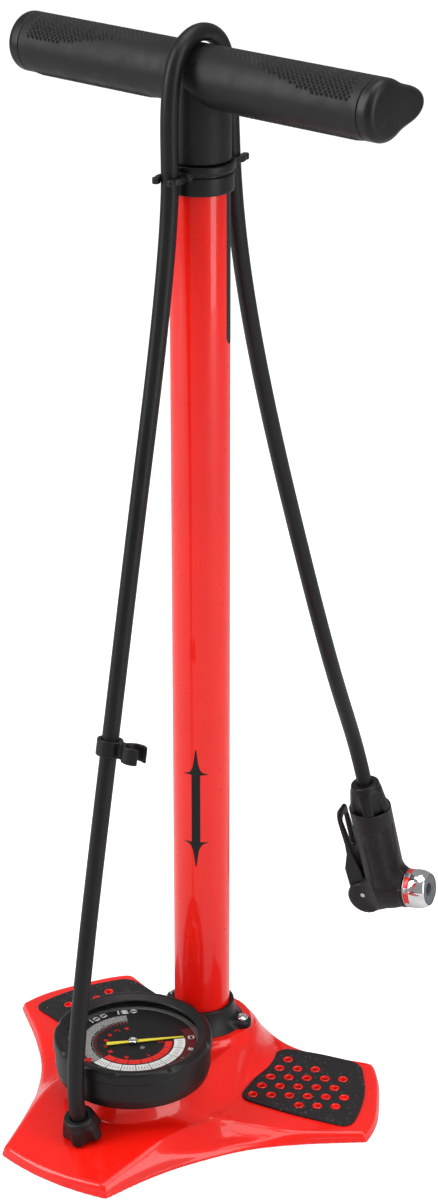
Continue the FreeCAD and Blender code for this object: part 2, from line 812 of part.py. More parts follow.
# --- hose -----------------------------------------------------------------------------------
def hose_path():
    """From the nut on the base, up the front, over the handle and down to the chuck."""
    front = [(-131.2, 52), (-128.3, 84), (-121, 127), (-90, 274), (-59.6, 413), (-32.6, 546)]
    back = [(rear_fork_y, 588), (61.5, 452), (109, 319), (157, 201)]
    loop_radius = 27.0
    loop_z = handle_z + handle_radius + hose_radius + 0.7 - loop_radius
    points = [nut_foot + nut_lean * (5.5 * step) for step in (1, 2, 3)]
    points += [Vector(0, y, z) for y, z in front + [(front_fork_y, 588)]]
    for step in range(5):
        turn = math.pi * (1 - step / 4)
        y = loop_radius * math.cos(turn)
        points.append(Vector(0, y, loop_z + loop_radius * math.sin(turn)))
    points += [Vector(0, y, z) for y, z in back]
    points += [chuck_top + chuck_up * (8 - 8 * step) for step in range(4)]
    return spline(points)


def hose():
    path = hose_path()
    steps = 48
    places = [path.getParameterByLength(path.Length * step / steps) for step in range(steps + 1)]
    walls = []
    for radius in (hose_radius, hose_bore):
        circles = [Part.makeCircle(radius, path.valueAt(t), path.tangentAt(t)) for t in places]
        rings = [Part.Wire(circle) for circle in circles]
        walls.append(Part.makeLoft(rings, True, False))
    return walls[0].cut(walls[1])


clip_point = Vector(0, -92.3, 263)
clip_axis = Vector(0, 0.206, 0.9785)
clip_spacing = 17.8
clip_height = 10.0


def hose_clip():
    """Ring that turns on the front of the hose, with a second, open ring for the other run."""
    half = clip_height / 2
    closed = Part.makeCylinder(7.6, clip_height, Vector(0, 0, -half))
    bridge = Part.makeBox(clip_spacing - 10, 4, clip_height, Vector(5.5, -2, -half))
    spring = Part.makeCylinder(7.2, clip_height, Vector(clip_spacing, 0, -half))
    body = union([closed, bridge, spring])
    mouth = Part.makeBox(12, 8.4, clip_height + 2, Vector(clip_spacing + 2.5, -4.2, -half - 1))
    cuts = [
        Part.makeCylinder(hose_radius + 0.3, clip_height + 2, Vector(0, 0, -half - 1)),
        Part.makeCylinder(hose_radius + 0.1, clip_height + 2, Vector(clip_spacing, 0, -half - 1)),
        mouth,
    ]
    clip = without(body, cuts)
    clip.Placement = FreeCAD.Placement(clip_point, FreeCAD.Rotation(UP, clip_axis))
    return clip


# --- chuck ----------------------------------------------------------------------------------
# Built in its own axes: Z up the body, X out of the nozzle, the origin at the top of its nut.
nozzle_z = -nozzle_drop
body_top = -18.0
lever_pivot = Vector(-15.0, 0, -88.0)
lever_half_width = 6.5
knuckle_radius = 6.5
pin_radius = 1.6
gland_bore = 4.1
gland_start = 22.0
plunger_travel = 1.5


def placed_chuck(shape):
    z_axis = Vector(chuck_up).normalize()
    x_axis = Vector(nozzle_direction).normalize()
    y_axis = z_axis.cross(x_axis)
    shape.Placement = FreeCAD.Placement(chuck_top, FreeCAD.Rotation(x_axis, y_axis, z_axis, "ZXY"))
    return shape


def nozzle_disc(radius, start, end):
    return Part.makeCylinder(radius, end - start, Vector(start, 0, nozzle_z), Vector(1, 0, 0))


def chuck_body():
    """Grip, nozzle neck and the fork that holds the lever."""
    grip_height = body_top - nozzle_z
    grip = Part.makeCone(chuck_radius + 0.4, chuck_radius - 0.6, grip_height, Vector(0, 0, nozzle_z))
    heel = Part.makeSphere(chuck_radius + 0.3, Vector(0, 0, nozzle_z))
    neck = nozzle_disc(12.6, 0, 14)
    flange = nozzle_disc(13.6, 13, 16.2)
    thread = nozzle_disc(9.6, 16, 20.5)
    cheek = Part.makeCylinder(9.0, 21, lever_pivot + Vector(0, -10.5, 0), Vector(0, 1, 0))
    web = Part.makeBox(16, 21, 18, lever_pivot + Vector(0, -10.5, -9))
    body = union([grip, heel, neck, flange, thread, cheek, web])
    gap_half = lever_half_width + 0.2
    gap_start = lever_pivot + Vector(0, -gap_half, 0)
    slot = Part.makeBox(30, 2 * gap_half, 40, Vector(-38, -gap_half, -104))
    relief = Part.makeCylinder(knuckle_radius + 0.6, 2 * gap_half, gap_start, Vector(0, 1, 0))
    pin_start = lever_pivot + Vector(0, -15, 0)
    cuts = [
        slot,
        relief,
        Part.makeCylinder(pin_radius + running_gap, 30, pin_start, Vector(0, 1, 0)),
        Part.makeCylinder(hose_radius + 0.4, 5, Vector(0, 0, -22.5)),
        Part.makeCylinder(4.6 + seat_gap, 8, Vector(0, 0, -27)),
        Part.makeCylinder(1.8, 60, Vector(0, 0, nozzle_z)),
        Part.makeCylinder(10.9, 6, Vector(0, 0, -23)),
        nozzle_disc(8.0, -6, 21),
    ]
    return placed_chuck(without(body, cuts))


def chuck_barb():
    """Joins the chuck to the hose."""
    root = Part.makeCylinder(4.6, 6.8, Vector(0, 0, -26.9))
    nose = Part.makeCylinder(hose_bore - 0.4, 12, Vector(0, 0, -20.5))
    barb = root.fuse(nose).cut(Part.makeCylinder(1.4, 30, Vector(0, 0, -30)))
    return placed_chuck(barb.removeSplitter())


def chuck_nut():
    """Lobed hand nut on the hose's end."""
    flare = Part.makeCone(13.2, 9.4, 17, Vector(0, 0, -17.6))
    neck = Part.makeCylinder(9.0, 17.6, Vector(0, 0, -17.6))
    tail = Part.makeCylinder(10.6, 5.2, Vector(0, 0, -22.6))
    nut = flare.fuse(neck)
    for step in range(5):
        scallop = Part.makeCylinder(4.4, 22, Vector(15.0, 0, -20), Vector(-0.2, 0, 1))
        scallop.rotate(Vector(), UP, 72 * step)
        nut = nut.cut(scallop)
    nut = nut.fuse(tail)
    nut = nut.cut(Part.makeCylinder(hose_radius + 0.35, 30, Vector(0, 0, -26)))
    return placed_chuck(nut.removeSplitter())


collar_start = 16.4
band_end = 21.0


def chuck_collar():
    """Screwed metal nose that holds the rubber gland; its end is domed."""
    barrel_part = nozzle_disc(12.9, collar_start, 26)
    dome_start = Vector(26, 0, nozzle_z)
    dome = Part.makeCone(12.9, 10.9, nozzle_reach - 26, dome_start, Vector(1, 0, 0))
    cuts = [
        nozzle_disc(9.6 + running_gap, 10, 21),
        nozzle_disc(gland_radius + seat_gap, 21, nozzle_reach - 1.2),
        nozzle_disc(9.6, 21, 40),
        nozzle_disc(20, collar_start + 0.9, band_end).cut(nozzle_disc(11.9, 10, 40)),
    ]
    return placed_chuck(without(barrel_part.fuse(dome), cuts))


gland_radius = 10.4


def collar_band():
    """Coloured grip band let into the collar."""
    band = nozzle_disc(13.4, collar_start + 1.0, band_end - 0.1)
    return placed_chuck(band.cut(nozzle_disc(11.9 + seat_gap, 10, 40)))


def valve_seal():
    """Rubber gland that the valve stem pushes into."""
    gland = nozzle_disc(gland_radius, gland_start, nozzle_reach - 1.3)
    lip = nozzle_disc(9.5, 24, nozzle_reach - 0.5)
    return placed_chuck(gland.fuse(lip).cut(nozzle_disc(gland_bore, 10, 40)).removeSplitter())


def seal_plunger():
    """Tube that the lever's cam pushes forward to squeeze the gland."""
    tube = nozzle_disc(8.0 - running_gap, -5.9, gland_start - plunger_travel - 0.1)
    return placed_chuck(tube.cut(nozzle_disc(2.5, 4, 40)))


def chuck_lever():
    """Thumb lever with a loop; it pivots at the chuck's heel."""
    width = 2 * lever_half_width
    knuckle_start = lever_pivot - Vector(0, lever_half_width, 0)
    knuckle = Part.makeCylinder(knuckle_radius, width, knuckle_start, Vector(0, 1, 0))
    outer_side = [(-21.4, -88), (-20.2, -68), (-24.6, -26), (-22, -22.4)]
    side = outer_side + [(-18.4, -24), (-15.2, -60), (-11, -84)]
    wires = Part.makePolygon([Vector(x, -lever_half_width, z) for x, z in side + side[:1]])
    blade = Part.Face(wires).extrude(Vector(0, width, 0))
    blade = blade.cut(grip_clearance())
    loop = Part.makeCylinder(3.6, 30, Vector(-35, 0, -33), Vector(1, 0, 0))
    lower_loop = Part.makeCylinder(1.6, 30, Vector(-35, 0, -50), Vector(1, 0, 0))
    window_corners = [(-3.6, -33), (3.6, -33), (1.6, -50), (-1.6, -50)]
    window = polygon_prism([(-35, y, z) for y, z in window_corners], Vector(30, 0, 0))
    lever = knuckle.fuse(blade)
    pin_start = lever_pivot - Vector(0, 15, 0)
    pin_hole = Part.makeCylinder(pin_radius + running_gap, 30, pin_start, Vector(0, 1, 0))
    return placed_chuck(without(lever, [loop, lower_loop, window, pin_hole]))


def grip_clearance():
    return Part.makeCylinder(chuck_radius + 1.0, 70, Vector(0, 0, -78))


def lever_pin():
    pin = Part.makeCylinder(pin_radius, 21, lever_pivot - Vector(0, 10.5, 0), Vector(0, 1, 0))
    return placed_chuck(pin)


# --- output ---------------------------------------------------------------------------------
def all_nodes():
    return {
        "base": base_shell(),
        "rubber_feet": rubber_feet(),
        "tread_pads": tread_pads(),
        "air_duct": air_duct(),
        "hose_spigot": hose_spigot(),
        "hose_nut": hose_nut(),
        "gauge_screws": gauge_screws(),
        "barrel": barrel(),
        "barrel_collar": barrel_collar(),
        "collar_screws": collar_screws(),
        "barrel_plug": barrel_plug(),
        "plug_seal": plug_seal(),
        "check_valve_disc": check_valve_disc(),
        "check_spring": check_spring(),
        "top_cap": top_cap(),
        "rod_bushing": rod_bushing(),
        "rod_bumper": rod_bumper(),
        "piston_rod": piston_rod(),
        "piston_head": piston_head(),
        "piston_seal": piston_seal(),
        "piston_nut": piston_nut(),
        "handle_body": handle_body(),
        "handle_insert": handle_insert(),
        "end_cap_right": end_cap(1),
        "end_cap_left": end_cap(-1),
        "gauge_housing": gauge_housing(),
        "gauge_socket": gauge_socket(),
        "bourdon_tube": bourdon_tube(),
        "movement_frame": movement_frame(),
        "sector_pin": sector_pin(),
        "sector_gear": sector_gear(),
        "gauge_link": gauge_link(),
        "needle_arbor": needle_arbor(),
        "needle": needle(),
        "needle_cap": needle_cap(),
        "gauge_dial": gauge_dial(),
        "dial_screws": dial_screws(),
        "gauge_lens": gauge_lens(),
        "gauge_bezel": gauge_bezel().cut(marker_socket()),
        "target_marker": target_marker(),
        "hose": hose(),
        "hose_clip": hose_clip(),
        "chuck_body": chuck_body(),
        "chuck_barb": chuck_barb(),
        "chuck_nut": chuck_nut(),
        "chuck_collar": chuck_collar(),
        "collar_band": collar_band(),
        "valve_seal": valve_seal(),
        "seal_plunger": seal_plunger(),
        "chuck_lever": chuck_lever(),
        "lever_pin": lever_pin(),
    }


os.makedirs("parts", exist_ok=True)
for name, shape in all_nodes().items():
    solids = shape.Solids
    bad = [solid for solid in solids if not solid.isValid() or solid.Volume <= 0]
    print(name, len(solids), "solid(s)", "BAD" if bad or not solids else "ok", round(shape.Volume))
    exported = solids[0] if len(solids) == 1 else Part.makeCompound(solids)
    exported.exportStep("parts/" + name + ".step")
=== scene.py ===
import json
import math

import bmesh
import bpy
import numpy as np
from mathutils import Matrix, Vector

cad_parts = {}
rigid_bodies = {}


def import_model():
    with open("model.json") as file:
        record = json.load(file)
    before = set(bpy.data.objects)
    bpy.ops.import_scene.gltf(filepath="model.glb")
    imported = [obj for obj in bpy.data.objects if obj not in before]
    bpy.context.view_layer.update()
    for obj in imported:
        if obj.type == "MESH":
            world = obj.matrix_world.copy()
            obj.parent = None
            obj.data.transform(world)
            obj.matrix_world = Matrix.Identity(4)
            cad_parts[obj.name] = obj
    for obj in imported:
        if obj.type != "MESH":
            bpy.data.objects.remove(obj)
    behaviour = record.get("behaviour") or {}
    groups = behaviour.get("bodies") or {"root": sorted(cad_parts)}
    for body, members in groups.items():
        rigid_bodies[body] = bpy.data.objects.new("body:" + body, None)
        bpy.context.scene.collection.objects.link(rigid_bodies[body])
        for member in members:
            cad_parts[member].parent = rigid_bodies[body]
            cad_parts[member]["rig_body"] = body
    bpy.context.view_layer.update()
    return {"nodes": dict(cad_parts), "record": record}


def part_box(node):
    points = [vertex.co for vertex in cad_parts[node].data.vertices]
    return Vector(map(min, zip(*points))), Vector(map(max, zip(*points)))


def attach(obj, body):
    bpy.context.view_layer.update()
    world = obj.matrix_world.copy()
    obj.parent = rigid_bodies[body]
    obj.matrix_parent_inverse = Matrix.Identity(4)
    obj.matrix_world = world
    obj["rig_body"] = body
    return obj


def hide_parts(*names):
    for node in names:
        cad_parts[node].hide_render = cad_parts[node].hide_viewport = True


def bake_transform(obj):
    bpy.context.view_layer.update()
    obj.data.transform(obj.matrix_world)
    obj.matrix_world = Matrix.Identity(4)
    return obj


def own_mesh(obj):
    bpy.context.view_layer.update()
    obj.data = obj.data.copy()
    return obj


# Floor bike pump. Shapes are written in millimetres in the CAD's own frame: the barrel's axis is Z,
# the floor is z = 0, +X runs along the handle, -Y is the gauge side. Meshes are stored in metres.
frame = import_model()

MM = 0.001
TURN = 2 * math.pi

# --- places taken from the CAD frame --------------------------------------------------------


def box_mm(node):
    """Lowest and highest corner of a CAD node, in millimetres."""
    low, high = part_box(node)
    return np.array(low) / MM, np.array(high) / MM


barrel_low, barrel_high = box_mm("barrel")
barrel_radius = (barrel_high[0] - barrel_low[0]) / 2
barrel_top = barrel_high[2]
bezel_low, bezel_high = box_mm("gauge_bezel")
bezel_radius = (bezel_high[0] - bezel_low[0]) / 2
gauge_y = (bezel_high[1] + bezel_low[1]) / 2
housing_low, housing_high = box_mm("gauge_housing")
housing_radius = (housing_high[0] - housing_low[0]) / 2
dial_low, dial_high = box_mm("gauge_dial")
dial_radius = (dial_high[0] - dial_low[0]) / 2
needle_low, needle_high = box_mm("needle")
cap_top = box_mm("top_cap")[1][2]
stem_bottom = box_mm("handle_body")[0][2]
collar_low, collar_high = box_mm("barrel_collar")
platform_z = collar_low[2]

# --- sizes of the shapes built here ---------------------------------------------------------
ear_x = 25.9
ear_y = 7.2
ear_height = 4.6

hose_radius = 5.1
handle_z = 642.25
handle_radius = 17.5
handle_half_length = 134.5
handle_seam = 124.8
handle_nose = 15.0
handle_yaw = math.radians(-6.0)
stem_radius = 18.2

nut_foot = np.array((0.0, -124.0, 14.0))
nut_lean = np.array((0.0, -0.309, 0.951))
nut_lift = 1.6

chuck_top = np.array((0.0, 189.5, 123.5))
chuck_up = np.array((-0.133, -0.175, 0.9755))
nozzle_direction = np.array((0.977, 0.142, 0.1585))
nozzle_z = -86.0
lever_pivot = (-15.0, -88.0)


# --- mesh building --------------------------------------------------------------------------
def unit(vector):
    return np.array(vector, float) / np.linalg.norm(vector)


def add_object(name, data):
    """An object in the scene that shows some data."""
    obj = bpy.data.objects.new(name, data)
    bpy.context.scene.collection.objects.link(obj)
    return obj


def add_mesh(name, points, faces, sharp_angle):
    """A smooth-shaded mesh object from points in millimetres."""
    mesh = bpy.data.meshes.new(name)
    mesh.from_pydata((np.asarray(points, float) * MM).tolist(), [], faces)
    mesh.validate()
    mesh.shade_smooth()
    mesh.set_sharp_from_angle(angle=math.radians(sharp_angle))
    return add_object(name, mesh)


def finish_piece(obj, body, material, nodes=()):
    """Gives a piece its material and body, and hides the CAD nodes that it stands for."""
    obj.data.materials.clear()
    obj.data.materials.append(MATERIALS[material])
    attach(obj, body)
    if nodes:
        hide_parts(*nodes)


def add_piece(name, shape, body, material, nodes=(), place=None, sharp_angle=40.0):
    """A finished piece from a shape, which is points in millimetres and faces."""
    points, faces = shape
    obj = add_mesh(name, place(points) if place else points, faces, sharp_angle)
    finish_piece(obj, body, material, nodes)


def skin(rings, loop=False):
    """Points and quads of a surface through rings that all have the same number of points."""
    size = len(rings[0])
    count = len(rings)
    faces = []
    for level in range(count if loop else count - 1):
        here = level * size
        above = (level + 1) % count * size
        for j in range(size):
            k = (j + 1) % size
            faces.append((here + j, here + k, above + k, above + j))
    if not loop:
        faces.append(tuple(range(size))[::-1])
        faces.append(tuple(range((count - 1) * size, count * size)))
    return np.concatenate(rings), faces


def softened(profile, radius, steps=4):
    """Rounds the corners of a closed profile."""
    points = [np.array(p, float) for p in profile]
    result = []
    for i, corner in enumerate(points):
        before = points[i - 1] - corner
        after = points[(i + 1) % len(points)] - corner
        reach = min(radius, np.linalg.norm(before) * 0.45, np.linalg.norm(after) * 0.45)
        start = corner + unit(before) * reach
        end = corner + unit(after) * reach
        for step in range(steps + 1):
            t = step / steps
            result.append((1 - t) ** 2 * start + 2 * t * (1 - t) * corner + t * t * end)
    return result


def lathe(profile, steps):
    """Ring-shaped solid turned about Z from a closed profile of (r, z) points."""
    turn = np.arange(steps) * TURN / steps
    rings = [np.column_stack((r * np.cos(turn), r * np.sin(turn), np.full(steps, z))) for r, z in profile]
    return skin(rings, loop=True)


def joined(shapes):
    """One shape from several."""
    faces = []
    count = 0
    for points, quads in shapes:
        faces += [tuple(count + k for k in quad) for quad in quads]
        count += len(points)
    return np.concatenate([points for points, quads in shapes]), faces


def moved(points, origin, x_axis, z_axis):
    """Points of a shape's own axes, placed in the frame."""
    z = unit(z_axis)
    x = unit(np.array(x_axis, float) - np.dot(x_axis, z) * z)
    y = np.cross(z, x)
    return points @ np.array([x, y, z]) + np.array(origin, float)


def at_gauge(points):
    """Moves a shape from the barrel's axis to the gauge's."""
    return points + (0, gauge_y, 0)


def extruded(name, outlines, bottom, top, bevel, keep_bevel_inside=True):
    """Plate with holes: outlines are closed 2D polygons, and those inside others become holes."""
    curve = bpy.data.curves.new(name, "CURVE")
    curve.dimensions = "2D"
    curve.fill_mode = "BOTH"
    half = (top - bottom) / 2
    curve.extrude = (half - bevel) * MM
    curve.bevel_depth = bevel * MM
    curve.bevel_resolution = 2
    curve.offset = -bevel * MM if keep_bevel_inside else 0.0
    for outline in outlines:
        spline = curve.splines.new("POLY")
        spline.points.add(len(outline) - 1)
        for point, (x, y) in zip(spline.points, outline):
            point.co = (x * MM, y * MM, 0, 1)
        spline.use_cyclic_u = True
    source = add_object(name + "_curve", curve)
    mesh = bpy.data.meshes.new_from_object(source.evaluated_get(bpy.context.evaluated_depsgraph_get()))
    bpy.data.objects.remove(source)
    bpy.data.curves.remove(curve)
    work = bmesh.new()
    work.from_mesh(mesh)
    bmesh.ops.remove_doubles(work, verts=work.verts, dist=1e-7)
    bmesh.ops.translate(work, verts=work.verts, vec=(0, 0, (bottom + top) / 2 * MM))
    work.to_mesh(mesh)
    work.free()
    mesh.shade_smooth()
    mesh.set_sharp_from_angle(angle=math.radians(35))
    mesh.name = name
    return add_object(name, mesh)


def map_points(obj, change):
    """Moves every vertex of a mesh by a function of its place in millimetres."""
    mesh = obj.data
    places = np.zeros(len(mesh.vertices) * 3)
    mesh.vertices.foreach_get("co", places)
    places = change(places.reshape(-1, 3) / MM)
    mesh.vertices.foreach_set("co", (places * MM).ravel())
    mesh.update()


def slot_of(node):
    return next(row["material_slot"] for row in frame["record"]["subparts"] if row["node"] == node)


def cad_copy(node, material):
    """A copy of a CAD node with its flat faces merged, standing for that node."""
    source = frame["nodes"][node]
    work = bmesh.new()
    work.from_mesh(source.data)
    bmesh.ops.remove_doubles(work, verts=work.verts, dist=2e-6)
    bmesh.ops.dissolve_limit(work, angle_limit=math.radians(1.0), verts=work.verts, edges=work.edges)
    mesh = bpy.data.meshes.new(node + "_soft")
    work.to_mesh(mesh)
    work.free()
    mesh.shade_smooth()
    obj = add_object(node + "_soft", mesh)
    finish_piece(obj, source["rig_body"], material, [node])
    return obj


def softened_node(node, width, material):
    """A copy of a CAD node with rounded edges."""
    bevel = cad_copy(node, material).modifiers.new("round", "BEVEL")
    bevel.width = width * MM
    bevel.segments = 3
    bevel.limit_method = "ANGLE"
    bevel.angle_limit = math.radians(32.0)
    bevel.harden_normals = True
    bevel.use_clamp_overlap = True


# --- distance fields ------------------------------------------------------------------------
def smooth_min(a, b, blend):
    share = np.clip(0.5 + 0.5 * (b - a) / blend, 0, 1)
    return b + (a - b) * share - blend * share * (1 - share)


def smooth_max(a, b, blend):
    return -smooth_min(-a, -b, blend)


def smooth_step(value, low, high):
    share = np.clip((value - low) / (high - low), 0, 1)
    return share * share * (3 - 2 * share)


def polygon_field(u, v, points):
    """Signed distance to a closed polygon, negative inside."""
    best = np.full(np.shape(u), 1e9)
    inside = np.zeros(np.shape(u), bool)
    for (ax, ay), (bx, by) in zip(points, points[1:] + points[:1]):
        ex = bx - ax
        ey = by - ay
        share = np.clip(((u - ax) * ex + (v - ay) * ey) / (ex * ex + ey * ey), 0, 1)
        best = np.minimum(best, np.hypot(u - ax - share * ex, v - ay - share * ey))
        crosses = (ay > v) != (by > v)
        with np.errstate(divide="ignore", invalid="ignore"):
            inside ^= crosses & (u < ax + (v - ay) * ex / (by - ay if by != ay else 1e-9))
    return np.where(inside, -best, best)


def surface_of(field, low, high, cell):
    """Quads on the zero level of a distance field, by one vertex in each cell that it crosses."""
    low = np.array(low, float)
    counts = np.ceil((np.array(high, float) - low) / cell).astype(int) + 1
    axes = [low[i] + cell * np.arange(counts[i]) for i in range(3)]
    values = field(*np.meshgrid(*axes, indexing="ij"))
    cells = counts - 1
    total = np.zeros((*cells, 3))
    hits = np.zeros(cells)

    def corner(offset):
        return values[tuple(slice(o, o + c) for o, c in zip(offset, cells))]

    for axis in range(3):
        for across in ((0, 0), (0, 1), (1, 0), (1, 1)):
            offset = np.insert(across, axis, 0)
            v0 = corner(offset)
            v1 = corner(np.insert(across, axis, 1))
            cross = (v0 < 0) != (v1 < 0)
            share = np.where(cross, v0 / np.where(cross, v0 - v1, 1), 0)
            hits += cross
            total += cross[..., None] * offset
            total[..., axis] += share
    active = hits > 0
    index = np.full(cells, -1)
    index[active] = np.arange(active.sum())
    places = np.argwhere(active)
    points = low + cell * (places + total[active] / hits[active][:, None])
    faces = []
    for axis in range(3):
        here = [slice(1, -1)] * 3
        here[axis] = slice(0, -1)
        ahead = [slice(1, -1)] * 3
        ahead[axis] = slice(1, None)
        start = values[tuple(here)] < 0
        crossed = start != (values[tuple(ahead)] < 0)
        nodes = np.argwhere(crossed) + np.insert((1, 1), axis, 0)
        flip = start[crossed] ^ (axis == 1)
        corners = [nodes + np.insert(across, axis, 0) for across in ((-1, -1), (0, -1), (0, 0), (-1, 0))]
        quad = [index[tuple(place.T)] for place in corners]
        quad = np.column_stack(quad)
        quad[~flip] = quad[~flip][:, ::-1]
        faces.append(quad)
    step = 0.05 * cell
    settling_rounds = 3
    least_slope = 0.2
    for _ in range(settling_rounds):
        here = field(*points.T)
        slope = np.column_stack([(field(*(points + step * axis).T) - here) / step for axis in np.eye(3)])
        shift = here / np.maximum((slope ** 2).sum(1), least_slope)
        points = points - np.clip(shift, -cell, cell)[:, None] * slope * 0.9
    return points, np.concatenate(faces).tolist()


# --- materials ------------------------------------------------------------------------------
class Shader:
    """A node material built from a Principled shader and a few noise layers."""

    def __init__(self, name, color, roughness, metallic=0.0, coat=0.0, coat_roughness=0.03, specular=0.5):
        self.material = bpy.data.materials.new(name)
        self.material.use_nodes = True
        self.tree = self.material.node_tree
        self.shader = self.tree.nodes["Principled BSDF"]
        self.set("Base Color", (*color, 1))
        self.set("Roughness", roughness)
        self.set("Metallic", metallic)
        self.set("Coat Weight", coat)
        self.set("Coat Roughness", coat_roughness)
        self.set("Specular IOR Level", specular)
        self.place = self.node("ShaderNodeTexCoord").outputs["Object"]
        self.normal = None

    def set(self, socket, value):
        self.shader.inputs[socket].default_value = value

    def node(self, kind, inputs=None, **values):
        """A new node, with its settings, and its inputs set to values or linked to outputs."""
        made = self.tree.nodes.new(kind)
        for key, value in values.items():
            setattr(made, key, value)
        for socket, value in (inputs or {}).items():
            if isinstance(value, bpy.types.NodeSocket):
                self.link(value, made.inputs[socket])
            else:
                made.inputs[socket].default_value = value
        return made

    def link(self, source, target):
        self.tree.links.new(source, target)

    def noise(self, size_mm, detail=2.0, stretch=(1, 1, 1)):
        """Noise whose features are about size_mm across."""
        mapping = self.node("ShaderNodeMapping", {"Vector": self.place, "Scale": stretch})
        scale = 1 / (size_mm * MM)
        inputs = {"Vector": mapping.outputs["Vector"], "Scale": scale, "Detail": detail}
        return self.node("ShaderNodeTexNoise", inputs).outputs["Fac"]

    def math(self, operation, a, b=None):
        inputs = {0: a} if b is None else {0: a, 1: b}
        return self.node("ShaderNodeMath", inputs, operation=operation).outputs[0]

    def product(self, result, *factors):
        for factor in factors:
            result = self.math("MULTIPLY", result, factor)
        return result

    def reach(self, origin_mm, axis):
        """Distance along an axis from a point, in mm."""
        ends = {0: self.place, 1: tuple(origin_mm * MM)}
        offset = self.node("ShaderNodeVectorMath", ends, operation="SUBTRACT").outputs["Vector"]
        pair = {0: offset, 1: tuple(axis / MM)}
        return self.node("ShaderNodeVectorMath", pair, operation="DOT_PRODUCT").outputs["Value"]

    def cells(self, size_mm):
        return self.node("ShaderNodeTexVoronoi", {"Vector": self.place, "Scale": 1 / (size_mm * MM)})

    def ramp(self, source, low, high, low_color, high_color):
        ramp = self.node("ShaderNodeValToRGB", {"Fac": source})
        for element, position, color in zip(ramp.color_ramp.elements, (low, high), (low_color, high_color)):
            element.position = position
            element.color = (*color, 1)
        return ramp.outputs["Color"]

    def remap(self, source, low, high, to_low, to_high):
        inputs = {"Value": source, "From Min": low, "From Max": high, "To Min": to_low, "To Max": to_high}
        return self.node("ShaderNodeMapRange", inputs).outputs["Result"]

    def vary_color(self, source, low_color, high_color, low=0.3, high=0.7):
        self.link(self.ramp(source, low, high, low_color, high_color), self.shader.inputs["Base Color"])

    def vary_roughness(self, source, low, high):
        self.link(self.remap(source, 0.3, 0.7, low, high), self.shader.inputs["Roughness"])

    def bump(self, source, height_mm, strength=1.0):
        """Adds a bump layer on top of those already there."""
        inputs = {"Height": source, "Distance": height_mm * MM, "Strength": strength}
        bump = self.node("ShaderNodeBump", inputs)
        if self.normal is not None:
            self.link(self.normal, bump.inputs["Normal"])
        self.normal = bump.outputs["Normal"]
        self.link(self.normal, self.shader.inputs["Normal"])

    def edge_wear(self, color, worn_color, amount):
        """Lightens convex edges, where paint or plastic is rubbed."""
        geometry = self.node("ShaderNodeNewGeometry")
        worn = self.remap(geometry.outputs["Pointiness"], 0.52, 0.62, 0.0, amount)
        inputs = {"Factor": worn, "A": color, "B": (*worn_color, 1)}
        mix = self.node("ShaderNodeMix", inputs, data_type="RGBA")
        self.link(mix.outputs["Result"], self.shader.inputs["Base Color"])


def gloss_paint(name, color, dark):
    """Sprayed paint under clear lacquer, with slight orange peel."""
    paint = Shader(name, color, 0.34, coat=0.6, coat_roughness=0.02, specular=0.25)
    paint.vary_color(paint.noise(60, 3), dark, color, 0.25, 0.6)
    paint.vary_roughness(paint.noise(5, 3), 0.27, 0.38)
    paint.bump(paint.noise(2.2, 1), 0.012, 0.2)
    return paint.material


def satin_plastic(name, color, roughness, grain_mm=0.35, height_mm=0.012):
    """Moulded plastic with a fine spark-eroded grain and slightly rubbed edges."""
    plastic = Shader(name, color, roughness, specular=0.3)
    tone = plastic.ramp(plastic.noise(22, 4), 0.3, 0.7, [c * 0.8 for c in color], [c * 1.18 for c in color])
    plastic.edge_wear(tone, [min(1.0, c * 2.4 + 0.01) for c in color], 0.5)
    plastic.vary_roughness(plastic.noise(9, 3), roughness * 0.88, roughness * 1.12)
    plastic.bump(plastic.noise(grain_mm, 2), height_mm)
    return plastic.material


def rubber(name, color, roughness, stretch=(1, 1, 0.25)):
    """Extruded or moulded rubber: dull, with faint drawn streaks and dust in the grain."""
    soft = Shader(name, color, roughness, specular=0.28)
    streaks = soft.noise(14, 4, stretch)
    tone = soft.ramp(streaks, 0.3, 0.7, [c * 0.75 for c in color], [c * 1.25 for c in color])
    soft.edge_wear(tone, [c * 2.0 + 0.005 for c in color], 0.35)
    soft.vary_roughness(soft.noise(4, 3, stretch), roughness * 0.85, roughness * 1.15)
    soft.bump(soft.noise(0.5, 3), 0.02)
    return soft.material


def grit_sheet(name):
    """Black abrasive sheet with bumpy grains and painted glints: light grey specks in its colour."""
    grit = Shader(name, (0.012, 0.011, 0.012), 0.75, specular=0.35)
    grains = grit.cells(0.55)
    # Light grey specks on a few grains: painted glints.
    painted_glints = grit.ramp(grains.outputs["Color"], 0.9, 0.97, (0.012, 0.011, 0.012), (0.30, 0.29, 0.30))
    grit.link(painted_glints, grit.shader.inputs["Base Color"])
    grit.link(grit.remap(grit.noise(0.5, 2), 0.3, 0.7, 0.45, 0.9), grit.shader.inputs["Roughness"])
    grit.bump(grains.outputs["Distance"], 0.22, 0.9)
    grit.bump(grit.noise(0.3, 3), 0.12, 0.8)
    return grit.material


def metal(name, color, roughness):
    """Turned or plated metal with fine tool lines and smudges."""
    plate = Shader(name, color, roughness, metallic=1.0)
    plate.vary_color(plate.noise(12, 3), [c * 0.88 for c in color], color)
    plate.vary_roughness(plate.noise(6, 4), roughness * 0.7, roughness * 1.4)
    plate.bump(plate.noise(0.4, 2, (1, 1, 0.05)), 0.004, 0.6)
    return plate.material


def print_ink(name, color):
    """Screen-printed ink: thin, matt, a little uneven."""
    ink = Shader(name, color, 0.5, specular=0.3)
    ink.vary_color(ink.noise(1.5, 3), [c * 0.86 for c in color], color)
    ink.bump(ink.noise(0.25, 2), 0.004)
    return ink.material


def maroon_ink():
    """Ink of the dial's wide zone."""
    ink = Shader("dial_maroon_ink", (0.09, 0.004, 0.006), 0.5)
    ink.vary_color(ink.noise(1.2, 2), (0.075, 0.003, 0.005), (0.11, 0.005, 0.008))
    return ink.material


